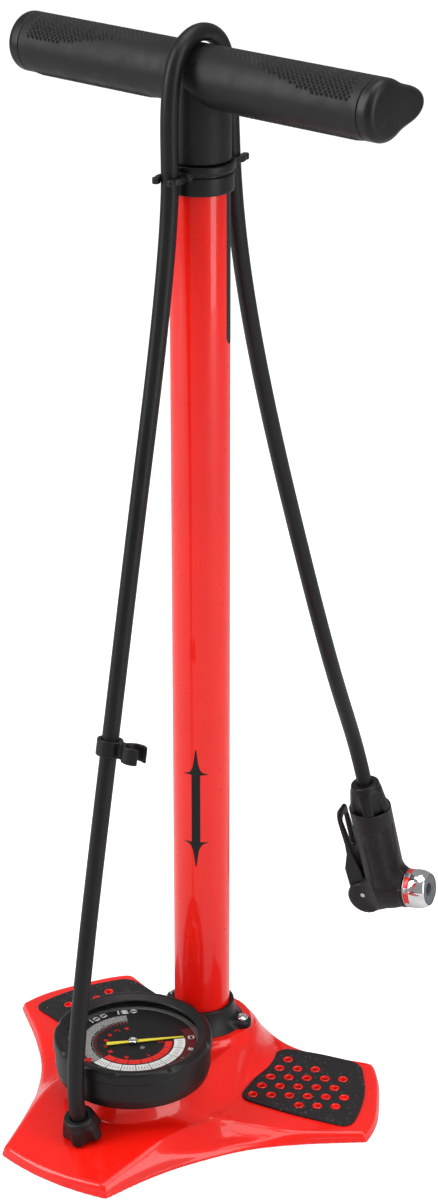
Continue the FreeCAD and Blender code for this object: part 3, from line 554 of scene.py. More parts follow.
def clear_window(name):
    """Clear plastic that the dial is seen through: reflects by Fresnel, else lets light pass."""
    glass = Shader(name, (1, 1, 1), 0.02)
    polish = glass.remap(glass.noise(18, 3), 0.3, 0.7, 0.01, 0.035)
    clear = glass.node("ShaderNodeBsdfTransparent", {"Color": (0.97, 0.98, 0.98, 1)})
    shine = glass.node("ShaderNodeBsdfGlossy", {"Color": (1, 1, 1, 1), "Roughness": polish})
    weight = glass.node("ShaderNodeLayerWeight", {"Blend": 0.12})
    outside = glass.math("SUBTRACT", 1.0, glass.node("ShaderNodeNewGeometry").outputs["Backfacing"])
    share = glass.product(weight.outputs["Fresnel"], 0.6, outside)
    inputs = {0: share, 1: clear.outputs["BSDF"], 2: shine.outputs["BSDF"]}
    mix = glass.node("ShaderNodeMixShader", inputs)
    output = next(n for n in glass.tree.nodes if n.type == "OUTPUT_MATERIAL")
    glass.link(mix.outputs["Shader"], output.inputs["Surface"])
    return glass.material


def chuck_moulding():
    """Chuck plastic whose side panel carries fine slanted ribs."""
    plastic = Shader("chuck_moulding", (0.009, 0.006, 0.007), 0.42, specular=0.3)
    tone = plastic.ramp(plastic.noise(22, 4), 0.3, 0.7, (0.008, 0.004, 0.005), (0.012, 0.008, 0.009))
    plastic.edge_wear(tone, (0.03, 0.026, 0.028), 0.4)
    plastic.vary_roughness(plastic.noise(9, 3), 0.38, 0.48)
    x_axis = unit(nozzle_direction)
    z_axis = unit(chuck_up)
    height = plastic.reach(chuck_top, z_axis)
    side = plastic.reach(chuck_top, np.cross(z_axis, x_axis))
    slant = plastic.math("ADD", height, plastic.product(side, 0.8))
    rib_pitch = 1.3
    ribs = plastic.math("SINE", plastic.product(slant, TURN / rib_pitch))
    in_height = plastic.math("LESS_THAN", plastic.math("ABSOLUTE", plastic.math("ADD", height, 56.0)), 22.0)
    in_side = plastic.math("LESS_THAN", plastic.math("ABSOLUTE", plastic.math("ADD", side, 9.0)), 5.4)
    ahead = plastic.math("GREATER_THAN", plastic.reach(chuck_top, x_axis), -3.0)
    panel = plastic.product(in_height, in_side, ahead)
    plastic.bump(plastic.noise(0.35, 2), 0.012)
    plastic.bump(plastic.product(ribs, panel), 0.14)
    return plastic.material


def collar_blocks():
    """Band round the collar, of red and bare metal blocks."""
    paint = Shader("collar_blocks", (0.7, 0.02, 0.02), 0.25)
    x_axis = unit(nozzle_direction)
    z_axis = unit(chuck_up)
    centre = chuck_top + z_axis * nozzle_z
    side = paint.reach(centre, np.cross(z_axis, x_axis))
    turn = paint.math("ARCTAN2", side, paint.reach(centre, z_axis))
    block_count = 7.0
    blocks = paint.math("SINE", paint.product(turn, block_count))
    is_red = paint.remap(blocks, -0.55, -0.45, 0.0, 1.0)
    paint.vary_color(is_red, (0.75, 0.75, 0.76), (0.72, 0.015, 0.012), 0.4, 0.6)
    paint.link(paint.remap(is_red, 0.4, 0.6, 1.0, 0.0), paint.shader.inputs["Metallic"])
    paint.bump(paint.noise(0.4, 2), 0.01)
    return paint.material


red = (0.90, 0.009, 0.003)
deep_red = (0.82, 0.006, 0.003)
MATERIALS = {
    "base_paint": gloss_paint("base_red_lacquer", red, deep_red),
    "barrel_paint": gloss_paint("barrel_red_lacquer", red, deep_red),
    # Near-black red for the discs deep in the studs' holes: painted shade, darker than the base's red because
    # the holes lie in shade.
    "shaded_paint": gloss_paint("stud_well_painted_shade", (0.10, 0.001, 0.001), (0.07, 0.001, 0.001)),
    "black_plastic": satin_plastic("black_moulding", (0.0075, 0.0068, 0.0072), 0.42),
    "cap_plastic": satin_plastic("cap_moulding", (0.0075, 0.007, 0.0075), 0.38),
    "soft_grip": satin_plastic("soft_touch_grip", (0.0085, 0.0085, 0.0095), 0.50, 0.3, 0.016),
    "black_rubber": rubber("black_rubber", (0.020, 0.019, 0.019), 0.65),
    "grit_rubber": grit_sheet("abrasive_sheet"),
    "hose_rubber": rubber("hose_rubber", (0.006, 0.006, 0.0068), 0.42),
    "grey_rubber": rubber("grey_rubber", (0.13, 0.14, 0.15), 0.55, (1, 1, 1)),
    "white_plastic": satin_plastic("white_moulding", (0.70, 0.70, 0.68), 0.4),
    "dial_print": print_ink("dial_black_ink", (0.006, 0.006, 0.0065)),
    "dial_white": print_ink("dial_white_ink", (0.80, 0.80, 0.78)),
    "dial_grey": print_ink("dial_grey_ink", (0.34, 0.34, 0.31)),
    "dial_maroon": maroon_ink(),
    "needle_yellow": print_ink("needle_yellow_enamel", (0.85, 0.72, 0.05)),
    "marker_red": print_ink("marker_red_plastic", (0.55, 0.012, 0.012)),
    "band_red": print_ink("band_red_paint", (0.75, 0.02, 0.015)),
    "brass": metal("turned_brass", (0.72, 0.50, 0.20), 0.28),
    "steel": metal("zinc_steel", (0.62, 0.62, 0.63), 0.25),
    "chrome": metal("bright_chrome", (0.86, 0.86, 0.87), 0.08),
    "aluminium": metal("drawn_aluminium", (0.74, 0.74, 0.76), 0.3),
    "clear_lens": clear_window("clear_window"),
    "chuck_ribbed": chuck_moulding(),
    "collar_band": collar_blocks(),
}


# --- base -----------------------------------------------------------------------------------
def curve_through(points, steps, flat_end=False):
    """Catmull-Rom curve through points."""
    before = 2 * np.array(points[0]) - np.array(points[1])
    after = np.array(points[-2]) * (-1, 1) if flat_end else 2 * np.array(points[-1]) - np.array(points[-2])
    p = np.array([before, *points, after], float)
    result = []
    for i in range(1, len(p) - 2):
        for step in range(steps):
            t = step / steps
            a = 2 * p[i]
            b = p[i + 1] - p[i - 1]
            c = 2 * p[i - 1] - 5 * p[i] + 4 * p[i + 1] - p[i + 2]
            d = 3 * p[i] - p[i - 1] - 3 * p[i + 1] + p[i + 2]
            result.append(tuple(0.5 * (a + b * t + c * t * t + d * t ** 3)))
    return result + [tuple(points[-1])]


def base_outline():
    """Corner and curve points of one side, mirrored, as a closed polygon."""
    front = [(39.7, -155), (48.1, -125.4), (59.7, -98.2), (79, -66.5), (103.4, -41.4), (135, -16)]
    tip = [(135, -16), (132.5, -4), (128, 8), (119, 24), (108, 41), (95.5, 54.8)]
    rear = [(95.5, 54.8), (70, 43), (42, 38), (0, 48)]
    side = curve_through(front, 12) + curve_through(tip, 5)[1:] + curve_through(rear, 9, flat_end=True)[1:]
    nose = [(39.7 * s, -160 + 5 * s * s) for s in np.linspace(0, 0.96, 12)]
    half = nose + side
    return half + [(-x, y) for x, y in reversed(half[1:-1])]


def wing_top(x):
    """Height of a wing's top face, which falls towards its tip."""
    return 5.5 + 0.052 * (140 - np.abs(x))


def slab_height(distance, half_top, half_foot, top):
    """Height of a flat-topped ridge whose flanks fall from half_top to half_foot."""
    share = np.clip((half_foot - distance) / (half_foot - half_top), -0.3, 1.5)
    return smooth_min(top * share, top, 2.5)


def roof_height(x, y):
    """Height of the base's top face: front lobe, wings, dome, groove, and flats for clamp and gauge."""
    back = (y + 165) / 115
    front = slab_height(np.abs(x), 35 + 21 * back, 41 + 43 * back, 4.6 + 25.3 * back)
    front = front - smooth_max(y + 84, 0, 30) * 0.9
    inward = (140 - np.abs(x)) / 120
    wing = slab_height(np.abs(y - 19 + 39 * inward), 40 + 16 * inward, 50 + 18 * inward, wing_top(x))
    barrel_side = np.hypot(x, y - np.clip(y, -62, 0))
    dome = smooth_min(33.5 - np.clip(barrel_side - 33, 0, 60) * 1.9, 31.5, 6)
    groove_x = np.abs(x) - 42
    groove_y = y + 14
    groove_along = groove_x * -0.35 + groove_y * 0.94
    groove_across = groove_x * 0.94 + groove_y * 0.35
    groove = 1.5 * (1 - smooth_step(np.hypot(groove_across, groove_along * 0.2), 0.8, 4.2))
    seat_radius = 31
    seat = np.maximum(seat_radius - np.hypot(x, y), seat_radius - np.hypot(x, y - gauge_y))
    boss = smooth_min(platform_z + 3.6 * seat, platform_z + 0.3, 1.5)
    height = smooth_max(smooth_max(front, wing, 18), dome, 14) - groove
    rim = 4.2
    return np.minimum(smooth_max(smooth_max(height, boss, 6), rim, 5), platform_z)


def base_piece():
    """Hollow shell under the roof, open below and bored for the barrel."""
    wall = 3.2
    step = 1.5
    grid_x = np.arange(-142, 143, step)
    grid_y = np.arange(-166, 62, step)
    flat_x, flat_y = np.meshgrid(grid_x, grid_y, indexing="ij")
    outline_table = polygon_field(flat_x, flat_y, base_outline())
    slope_x, slope_y = np.gradient(roof_height(flat_x, flat_y), step)
    slope_table = np.sqrt(1 + slope_x ** 2 + slope_y ** 2)

    def looked_up(table, x, y):
        u = np.clip((x - grid_x[0]) / step, 0, len(grid_x) - 1.001)
        v = np.clip((y - grid_y[0]) / step, 0, len(grid_y) - 1.001)
        i = u.astype(int)
        j = v.astype(int)
        u = u - i
        v = v - j
        low = table[i, j] * (1 - u) + table[i + 1, j] * u
        high = table[i, j + 1] * (1 - u) + table[i + 1, j + 1] * u
        return low * (1 - v) + high * v

    def field(x, y, z):
        side = looked_up(outline_table, x, y) + 0.6 * smooth_step(z, 2.0, 2.8)
        top = (z - roof_height(x, y)) / looked_up(slope_table, x, y)
        body = smooth_max(side, top, 4.0)
        bore = np.hypot(x, y) - barrel_radius - 0.15
        return np.maximum(np.maximum(np.maximum(body, -(body + wall)), -z), -bore)

    shape = surface_of(field, (-139, -163, -1.3), (139, 59, 38), 1.0)
    add_piece("base_shell", shape, "root", "base_paint", ["base"], sharp_angle=50)


def pad_holes():
    """Places of the studs on the right wing, in slanted rows of equal pitch."""
    rows = [(0, 1), (-0.5, 3), (-1, 5), (-1.5, 5), (-2, 6), (0.5, 3)]
    pitch = 11.4
    turn = math.radians(35)
    along = np.array([math.cos(turn), math.sin(turn)]) * pitch
    down = np.array([along[1], -along[0]]) * math.sin(math.radians(60))
    first = np.array([53, 19.5])
    return [first + down * row + along * (start + place)
            for row, (start, length) in enumerate(rows) for place in range(length)]


def tread_pieces():
    """Grip sheets on the wings, the base's raised, dished studs that show through them, and near-black red
    discs in the studs' holes, which are painted shade.
    """
    corners = [(51.5, -34), (87, -27.5), (124, -17.5), (118.5, 3)]
    corners += [(110, 22), (92, 45.5), (66, 38), (41.5, 28)]
    outline = softened(corners, 9.0, 6)
    hole_radius = 3.15
    hole = [(hole_radius * math.cos(a), hole_radius * math.sin(a)) for a in np.arange(24) * TURN / 24]
    rim = [(3.1, -1.2), (3.1, 1.35), (2.85, 1.75), (2.45, 1.8)]
    dish = [(2.05, 1.2), (1.8, 0.1), (1.6, -0.1), (1.6, -1.2)]
    stud, stud_faces = lathe(softened(rim + dish, 0.35, 3), 28)
    # Discs at the bottom of each stud's hole, in near-black red: painted shade for the hole's depth.
    disc = [(0.02, -0.6), (1.85, -0.6), (1.85, 0.12), (0.02, 0.12)]
    well, well_faces = lathe(softened(disc, 0.1, 2), 24)
    studs = []
    wells = []
    for side, name in ((1, "right"), (-1, "left")):
        outlines = [[(side * x, y) for x, y in outline]]
        for hole_x, hole_y in pad_holes():
            outlines.append([(side * (hole_x + x), hole_y + y) for x, y in hole])
            place = (side * hole_x, hole_y, wing_top(hole_x))
            studs.append((stud + place, stud_faces))
            wells.append((well + place, well_faces))
        pad = extruded("tread_pad_" + name, outlines, -0.2, 1.45, 0.22)
        map_points(pad, lambda p: p + np.outer(wing_top(p[:, 0]), (0, 0, 1)))
        finish_piece(pad, "root", "grit_rubber", ["tread_pads"])
    add_piece("tread_studs", joined(studs), "root", "base_paint", sharp_angle=50)
    add_piece("stud_well_shade_discs", joined(wells), "root", "shaded_paint", sharp_angle=50)


def spring_piece():
    """The check valve's spring, as a copy of its CAD node with a mesh of its own. The real spring shortens as
    the disc leaves its seat; nothing here makes the copy shorten.
    """
    obj = cad_copy("check_spring", "steel")
    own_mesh(obj)


# --- barrel ---------------------------------------------------------------------------------
def barrel_piece():
    """Plain tube with rounded rims."""
    wall = 1.5
    bore = barrel_radius - wall
    foot = barrel_low[2]
    profile = [(bore, foot), (barrel_radius, foot), (barrel_radius, barrel_top), (bore, barrel_top)]
    add_piece("barrel_tube", lathe(softened(profile, 0.4), 160), "root", "barrel_paint", ["barrel"])


def wrapped_print(name, rows, middle):
    """Thin black ink on the barrel about an angle, from rows of (height, half width)."""
    columns = 12
    count = len(rows)
    layers = []
    for lift in (0.01, 0.06):
        radius = barrel_radius + lift
        for height, half in rows:
            turn = middle + np.linspace(-half, half, columns) / radius
            places = (radius * np.cos(turn), radius * np.sin(turn), np.full(columns, height))
            layers.append(np.column_stack(places))
    faces = []
    for layer in (0, 1):
        for row in range(count - 1):
            for j in range(columns - 1):
                a = (layer * count + row) * columns + j
                quad = (a, a + 1, a + columns + 1, a + columns)
                faces.append(quad if layer else quad[::-1])
    top = count * columns
    edge = list(range(columns))
    edge += [row * columns + columns - 1 for row in range(1, count)]
    edge += [(count - 1) * columns + j for j in range(columns - 2, -1, -1)]
    edge += [row * columns for row in range(count - 2, 0, -1)]
    faces += [(here, ahead, ahead + top, here + top) for here, ahead in zip(edge, edge[1:] + edge[:1])]
    add_piece(name, (np.concatenate(layers), faces), "root", "dial_print", sharp_angle=30)


def barrel_prints():
    """A double-headed arrow for the stroke, and a plain stripe with a round foot."""
    low, high = 152.0, 232.0
    head = 17.0
    arrow = [(low, 0.15), (low + head, 7.6), (low + head + 0.2, 2.7)]
    arrow += [(high - head - 0.2, 2.7), (high - head, 7.6), (high, 0.15)]
    wrapped_print("stroke_arrow", arrow, math.radians(-66))
    half = 6.0
    low, high = 486.0, 577.5
    turns = np.linspace(0, math.pi / 2, 10)
    stripe = [(low + half - half * math.cos(a), max(half * math.sin(a), 0.1)) for a in turns]
    wrapped_print("barrel_stripe", stripe + [(high, half)], math.radians(25))


def collar_piece():
    """Clamp round the barrel's foot, whose skirt sweeps out to an ear on each side."""
    ears = [np.array((ear_x, ear_y)), np.array((-ear_x, ear_y))]
    low = platform_z
    high = collar_high[2]

    def field(x, y, z):
        around = np.hypot(x, y)
        up = z - low
        radius = 19.6 + 7.0 * np.exp(-up / 5.5)
        body = np.maximum((around - radius) * 0.8, z - high)
        for ear in ears:
            along = np.clip((x * ear[0] + y * ear[1]) / (ear @ ear), 0, 1)
            reach = np.hypot(x - ear[0] * along, y - ear[1] * along)
            web = 5.9 + 4.0 * (1 - along)
            height = ear_height + 10.0 * (1 - along) ** 2.2
            arm = smooth_max(reach - web, up - height, 2.0)
            body = smooth_min(body, arm, 3.0)
        for ear in ears:
            sink = smooth_max(np.hypot(x - ear[0], y - ear[1]) - 4.1, 4.9 - up, 0.6)
            body = smooth_max(body, -sink, 0.6)
        body = smooth_max(body, -(around - barrel_radius - 0.15), 0.5)
        return np.maximum(body, low - z)

    shape = surface_of(field, (-34, -30, low - 1), (34, 30, high + 2), 0.55)
    add_piece("barrel_clamp", shape, "root", "black_plastic", ["barrel_collar"], sharp_angle=45)


def screw_pieces():
    """Domed cross-head screws in the clamp's ears."""
    def field(x, y, z):
        head = smooth_max(np.hypot(x, y) - 3.7, np.sqrt(x * x + y * y + (z + 4.2) ** 2) - 6.6, 0.5)
        near = np.minimum(np.abs(x), np.abs(y))
        far = np.maximum(np.abs(x), np.abs(y))
        cross = np.maximum(near - 0.55, far - 2.2)
        return np.maximum(np.maximum(head, -np.maximum(cross, 1.2 - z)), -z)

    points, faces = surface_of(field, (-4.5, -4.5, -0.6), (4.5, 4.5, 3.4), 0.22)
    screws = [(points + (x, ear_y, platform_z + ear_height), faces) for x in (ear_x, -ear_x)]
    add_piece("clamp_screws", joined(screws), "root", "chrome", ["collar_screws"], sharp_angle=30)


def cap_piece():
    """Barrel cap with a stepped rim and an open fork for each run of the hose."""
    fork_low, fork_high = 586.4, 590.2
    forks = [(-28.6, -1), (31.9, 1)]
    flange_z = 591.4

    def field(x, y, z):
        around = np.hypot(x, y)
        band = smooth_max(around - 19.8, np.abs(z - 582) - 5.2, 0.9)
        neck = np.maximum(around - 18.7, np.abs(z - 588) - 4.0)
        flange = smooth_max(around - 20.5, np.abs(z - flange_z) - (cap_top - flange_z), 0.9)
        body = np.minimum(np.minimum(band, neck), flange)
        level = np.abs(z - (fork_low + fork_high) / 2) - (fork_high - fork_low) / 2
        for place, mouth in forks:
            ahead = (y - place) * mouth
            reach = np.hypot(x, y - place)
            ring = np.abs(reach - 6.9) - 1.5
            lips = np.hypot(np.abs(x) - 5.4, ahead - 6.2) - 1.9
            ring = np.where(ahead > 4.6, np.maximum(ring, 3.4 - np.abs(x)), ring)
            root_block = np.maximum(np.abs(x) - 6.5 - 0.25 * np.abs(ahead + 8), np.abs(ahead + 11) - 6.0)
            root_block = np.maximum(root_block, 5.4 - reach)
            clasp = smooth_min(smooth_min(ring, root_block, 1.5), lips, 1.0)
            body = smooth_min(body, smooth_max(clasp, level, 0.7), 1.0)
        bore = around - np.where(z < barrel_top, barrel_radius + 0.05, 9.0)
        return np.maximum(body, -bore)

    shape = surface_of(field, (-23, -40, 575), (23, 43, cap_top + 1.5), 0.55)
    add_piece("barrel_cap", shape, "root", "cap_plastic", ["top_cap"], sharp_angle=45)


# --- handle ---------------------------------------------------------------------------------
def handle_ring(x, steps, inset=0.0, relief=None):
    """Section of the handle: round, with a nose towards the user that grows to the ends."""
    straight = 15.0
    share = np.clip((abs(x) - straight) / (handle_half_length - straight), 0, 1)
    nose = handle_nose * share * share * (3 - 2 * share)
    turn = np.arange(steps) * TURN / steps
    away = np.degrees(np.minimum(turn, TURN - turn))
    reach = handle_radius + nose * np.exp(-(away / 27.0) ** 2) - inset
    if relief is not None:
        reach = reach + relief(x, turn)
    return np.column_stack((np.full(steps, x), reach * np.cos(turn), handle_z + reach * np.sin(turn)))


def grip_relief(x, turn):
    """Staggered dimples along the top and short ribs underneath."""
    pitch = 3.3
    along = abs(x)
    fade = smooth_step(along, 22, 62) * (1 - smooth_step(along, 117.5, 120))
    arc = (turn - math.radians(97)) * handle_radius
    limit = 6.0 + 13.0 * smooth_step(along, 25, 105)
    row = np.round(arc / (pitch * 0.5))
    column = np.round(along / pitch - 0.5 * (row % 2)) + 0.5 * (row % 2)
    distance = np.hypot(arc - row * pitch * 0.5, along - column * pitch)
    size = 0.65 + 0.5 * fade
    inside = (np.abs(row * pitch * 0.5) < limit) * (column * pitch > 24) * (column * pitch < 119)
    dimple = -0.9 * (0.35 + 0.65 * fade) * (1 - smooth_step(distance, size * 0.45, size)) * inside
    below = np.abs(np.degrees(turn) - 268)
    band = (1 - smooth_step(below, 26, 40)) * smooth_step(along, 26, 34) * (1 - smooth_step(along, 117, 120))
    rib = 0.75 * band * smooth_step(np.cos(TURN * along / pitch), -0.2, 0.6)
    return dimple + rib


def yawed(points):
    """Turns a shape by the handle's angle about the barrel's axis."""
    c, s = math.cos(handle_yaw), math.sin(handle_yaw)
    return points @ np.array([[c, s, 0], [-s, c, 0], [0, 0, 1]])


def handle_piece():
    """Grip with its moulded relief, and the stem that it stands on."""
    steps = 300
    spacing = 0.45
    half = list(np.arange(spacing, handle_seam - 0.55, spacing))
    edge = handle_seam - 0.1
    ends = [(handle_seam - 0.5, 0.0), (handle_seam - 0.22, 0.1), (edge, 0.32), (edge, 5.0)]
    rings = [handle_ring(-x, steps, inset) for x, inset in reversed(ends)]
    rings += [handle_ring(x, steps, 0, grip_relief) for x in [-x for x in reversed(half)] + [0.0] + half]
    rings += [handle_ring(x, steps, inset) for x, inset in ends]
    bore = 9.2
    low = stem_bottom
    profile = [(bore, low + 1.0), (bore, low), (stem_radius - 0.8, low), (stem_radius, low + 0.8)]
    profile += [(stem_radius, handle_z - 22), (stem_radius - 0.15, handle_z - 14), (17.6, handle_z - 5)]
    profile += [(16.9, handle_z), (bore, handle_z + 4)]
    shape = joined([skin(rings), lathe(softened(profile, 0.6), 128)])
    add_piece("grip_handle", shape, "handle", "soft_grip", ["handle_body"], yawed, 50)


def end_cap_pieces():
    """Covers of the handle's ends: a rounded rim and a slightly domed face."""
    rim = 5.0
    corner = handle_half_length - rim
    rises = [(0.12, 5.0), (0.12, 0.4), (0.3, 0.1), (0.6, 0.0)]
    stations = [(handle_seam + ahead, inset) for ahead, inset in rises]
    stations += [(x, 0.0) for x in np.linspace(handle_seam + 1.4, corner, 5)]
    for turn in np.linspace(0, math.pi / 2, 12)[1:]:
        stations.append((corner + rim * math.sin(turn), rim * (1 - math.cos(turn))))
    for side, name in ((1, "right"), (-1, "left")):
        rings = [handle_ring(side * x, 200, inset) for x, inset in stations]
        face = rings[-1]
        middle = face.mean(0)
        for share in (0.97, 0.9, 0.75, 0.5, 0.2, 0.03):
            ring = middle + (face - middle) * share
            ring[:, 0] += side * 0.35 * (1 - share ** 2)
            rings.append(ring)
        points, faces = skin(rings)
        if side < 0:
            faces = [tuple(reversed(face)) for face in faces]
        shape = (points, faces)
        add_piece("end_cap_cover_" + name, shape, "handle", "cap_plastic", ["end_cap_" + name], yawed, 50)


# --- gauge ----------------------------------------------------------------------------------
def gauge_pieces():
    """Gauge housing, as a cup and its floor."""
    low = housing_low[2]
    seam = bezel_low[2] - 0.2
    top = housing_high[2]
    profile = [(43, low), (46.6, low), (housing_radius, low + 6), (housing_radius, seam)]
    profile += [(45.6, seam), (45.6, top), (44.4, top), (44.4, low + 3), (43, low + 3)]
    add_piece("gauge_cup", lathe(softened(profile, 0.9), 180), "root", "black_plastic", place=at_gauge)
    disc = [(0.02, low + 0.05), (44, low + 0.05), (44, low + 2.6), (0.02, low + 2.6)]
    floor = lathe(softened(disc, 0.4), 120)
    add_piece("gauge_floor", floor, "root", "black_plastic", ["gauge_housing"], at_gauge)


def bezel_piece():
    """Bezel with a sloping crown, a skirt over the housing and eight finger scallops."""
    low, high = bezel_low[2], bezel_high[2]
    window = 40.5
    ledge = high - 3.4
    scallop_reach = 54.6

    def field(x, y, z):
        around = np.hypot(x, y)
        side = np.maximum(around - bezel_radius + 0.06 * (z - low), low - z)
        crown = z - high + 0.006 * (around - 44) ** 2 + 0.5 * np.clip(45 - around, 0, 9)
        body = smooth_max(side, crown, 2.6)
        inner = window - around - 0.35 * np.clip(z - ledge, 0, 9)
        body = smooth_max(body, inner, 0.8)
        skirt = np.maximum(around - 46.05, z - ledge)
        body = smooth_max(body, -skirt, 0.3)
        for step in range(8):
            turn = math.radians(45 * step + 22)
            flat = (x - scallop_reach * math.cos(turn)) ** 2 + (y - scallop_reach * math.sin(turn)) ** 2
            body = smooth_max(body, 8.8 - np.sqrt(flat + (z - high - 3.6) ** 2), 0.7)
        return body

    shape = surface_of(field, (-51, -51, low - 1.2), (51, 51, high + 1.2), 0.6)
    add_piece("bezel_ring", shape, "bezel", "cap_plastic", ["gauge_bezel"], at_gauge, 45)


def band(inner, outer, start, end, steps=None):
    """Closed polygon of a ring segment between two angles in degrees."""
    steps = steps or max(2, int(abs(end - start) / 2) + 1)
    turn = np.radians(np.linspace(start, end, steps))
    outside = [(outer * math.cos(a), outer * math.sin(a)) for a in turn]
    inside = [(inner * math.cos(a), inner * math.sin(a)) for a in turn[::-1]]
    return outside + inside


SEGMENTS = {
    "0": "abcdef", "1": "bc", "2": "abged", "3": "abgcd", "4": "fgbc",
    "5": "afgcd", "6": "afgedc", "7": "abc", "8": "abcdefg",
}


def digit_strokes(digit, width, height, stroke):
    """Strokes of a squared digit, centred on its origin, as closed polygons."""
    w, h, s = width / 2, height / 2, stroke / 2
    bars = {
        "a": (-w, h - stroke, w, h), "g": (-w, -s, w, s), "d": (-w, -h, w, -h + stroke),
        "f": (-w, -s, -w + stroke, h), "b": (w - stroke, -s, w, h),
        "e": (-w, -h, -w + stroke, s), "c": (w - stroke, -h, w, s),
    }
    return [[(x0, y0), (x1, y0), (x1, y1), (x0, y1)] for x0, y0, x1, y1 in (bars[k] for k in SEGMENTS[digit])]


def number_strokes(text, angle, radius, height):
    """Digits of a number on the dial, their tops outward."""
    width, stroke, gap = height * 1.12, height * 0.25, height * 0.34
    total = len(text) * width + (len(text) - 1) * gap
    turn = math.radians(angle)
    up = np.array((math.cos(turn), math.sin(turn)))
    across = np.array((up[1], -up[0]))
    result = []
    for i, digit in enumerate(text):
        shift = -total / 2 + width / 2 + i * (width + gap)
        for polygon in digit_strokes(digit, width, height, stroke):
            result.append([tuple(up * (radius + y) + across * (x + shift)) for x, y in polygon])
    return result


def print_piece(name, polygons, level, material):
    """Thin ink on the dial: each polygon is a closed sheet."""
    lift = 0.05
    points = []
    faces = []
    for polygon in polygons:
        n = len(polygon)
        start = len(points)
        area = sum(a[0] * b[1] - b[0] * a[1] for a, b in zip(polygon, polygon[1:] + polygon[:1]))
        if area < 0:
            polygon = polygon[::-1]
        points += [(x, y, level) for x, y in polygon]
        points += [(x, y, level + lift) for x, y in polygon]
        half = n // 2
        for k in range(half - 1):
            top = (start + n + k, start + n + k + 1, start + 2 * n - 2 - k, start + 2 * n - 1 - k)
            faces.append(top)
            faces.append(tuple(i - n for i in reversed(top)))
        faces += [(start + k, start + (k + 1) % n, start + n + (k + 1) % n, start + n + k) for k in range(n)]
    add_piece(name, (np.array(points), faces), "root", material, (), at_gauge, 20)


def dial_angle(pressure):
    """Angle of a pressure on the scale, which is stretched at its low end."""
    zero, knee, end = 45.0, -102.0, -225.0
    if pressure <= 40:
        return zero + (knee - zero) * (pressure / 40) ** 0.93
    return knee + (end - knee) * (pressure - 40) / 80


def dial_pieces():
    """Dial card with its zone, two scales, numbers and thin lines."""
    level = dial_high[2]
    ink_level = level + 0.06
    card = [(2, level - 0.6), (dial_radius, level - 0.6), (dial_radius, level), (2, level)]
    add_piece("dial_card", lathe(softened(card, 0.15), 160), "root", "dial_print", ["gauge_dial"], at_gauge)
    print_piece("dial_zone", [band(32.9, 43.2, 62, -22)], level, "dial_maroon")
    marks = [band(25.4, 32.2, dial_angle(p) - 0.5, dial_angle(p + 5) + 0.5) for p in range(0, 40, 5)]
    for pressure in np.arange(41, 120.5, 1):
        place = dial_angle(pressure)
        marks.append(band(26.0 if pressure % 10 else 25.4, 32.2, place - 0.22, place + 0.22, 2))
    for pressure in (0, 5, 10, 20, 30, 40, 60, 80, 100, 120):
        height = 3.9 if pressure in (0, 40, 60, 80, 100, 120) else 2.9
        marks += number_strokes(str(pressure), dial_angle(pressure), 36.3, height)
    print_piece("dial_scale", marks, ink_level, "dial_white")
    marks = []
    for pressure in range(0, 40, 5):
        for part in range(1, 5):
            place = dial_angle(pressure + part)
            marks.append(band(27.4, 30.6, place - 0.28, place + 0.28, 2))
    print_piece("dial_ticks", marks, level + 0.13, "dial_print")
    edges = np.linspace(dial_angle(1), dial_angle(40), 8)
    marks = [band(19.6, 24.2, a - 0.6, b + 0.6) for a, b in zip(edges, edges[1:])]
    marks += [band(22.4, 24.4, a - 0.3, a + 0.3, 2) for a in np.linspace(dial_angle(44), dial_angle(120), 22)]
    for value in range(0, 9):
        marks += number_strokes(str(value), dial_angle(value * 14.5 + 1), 16.9, 2.7)
    print_piece("dial_inner_scale", marks, ink_level, "band_red")
    lines = [band(r, r + 0.22, -60, 240, 150) for r in (37.7 + 1.7, 40.3, 41.2, 42.1)]
    lines.append(band(24.75, 24.95, dial_angle(40), dial_angle(120), 60))
    print_piece("dial_lines", lines, ink_level, "dial_grey")


def needle_pieces():
    """Tapered pointer, turned to its place, and the hub over it."""
    low, high = needle_low[2], needle_high[2]
    tail = [(-15 + 1.5 * math.cos(a), 1.5 * math.sin(a)) for a in np.linspace(math.pi / 2, 1.5 * math.pi, 9)]
    outline = tail + [(-4, -0.95), (0, -1.4), (31.5, -0.3), (31.5, 0.3), (0, 1.4), (-4, 0.95)]
    obj = extruded("needle_blade", [outline], low, high + 0.1, 0.12, False)
    c = math.cos(math.radians(45))
    map_points(obj, lambda p: at_gauge(p @ np.array([[c, c, 0], [-c, c, 0], [0, 0, 1]])))
    finish_piece(obj, "pointer", "needle_yellow", ["needle"])
    low = high + 0.05
    profile = [(0.02, low), (3.1, low), (3.1, low + 0.8), (2.6, low + 1.25)]
    profile += [(1.5, low + 1.4), (1.3, low + 1.0), (0.02, low + 0.95)]
    hub = lathe(softened(profile, 0.25), 64)
    add_piece("needle_hub", hub, "pointer", "chrome", ["needle_cap"], at_gauge, 60)


# --- hose -----------------------------------------------------------------------------------
def natural_spline(points, places_per_span=14):
    """Smooth curve through points, spaced by chord length."""
    p = np.array(points, float)
    knots = np.concatenate(([0], np.cumsum(np.linalg.norm(np.diff(p, axis=0), axis=1))))
    gaps = np.diff(knots)
    n = len(p)
    matrix = np.eye(n)
    right = np.zeros((n, 3))
    for i in range(1, n - 1):
        matrix[i, i - 1:i + 2] = gaps[i - 1], 2 * (gaps[i - 1] + gaps[i]), gaps[i]
        right[i] = 6 * ((p[i + 1] - p[i]) / gaps[i] - (p[i] - p[i - 1]) / gaps[i - 1])
    bend = np.linalg.solve(matrix, right)
    result = []
    for i in range(n - 1):
        for t in np.arange(places_per_span) / places_per_span * gaps[i]:
            a = (gaps[i] - t)
            value = (bend[i] * a ** 3 + bend[i + 1] * t ** 3) / (6 * gaps[i])
            value += (p[i] / gaps[i] - bend[i] * gaps[i] / 6) * a
            value += (p[i + 1] / gaps[i] - bend[i + 1] * gaps[i] / 6) * t
            result.append(value)
    return np.array(result + [p[-1]])


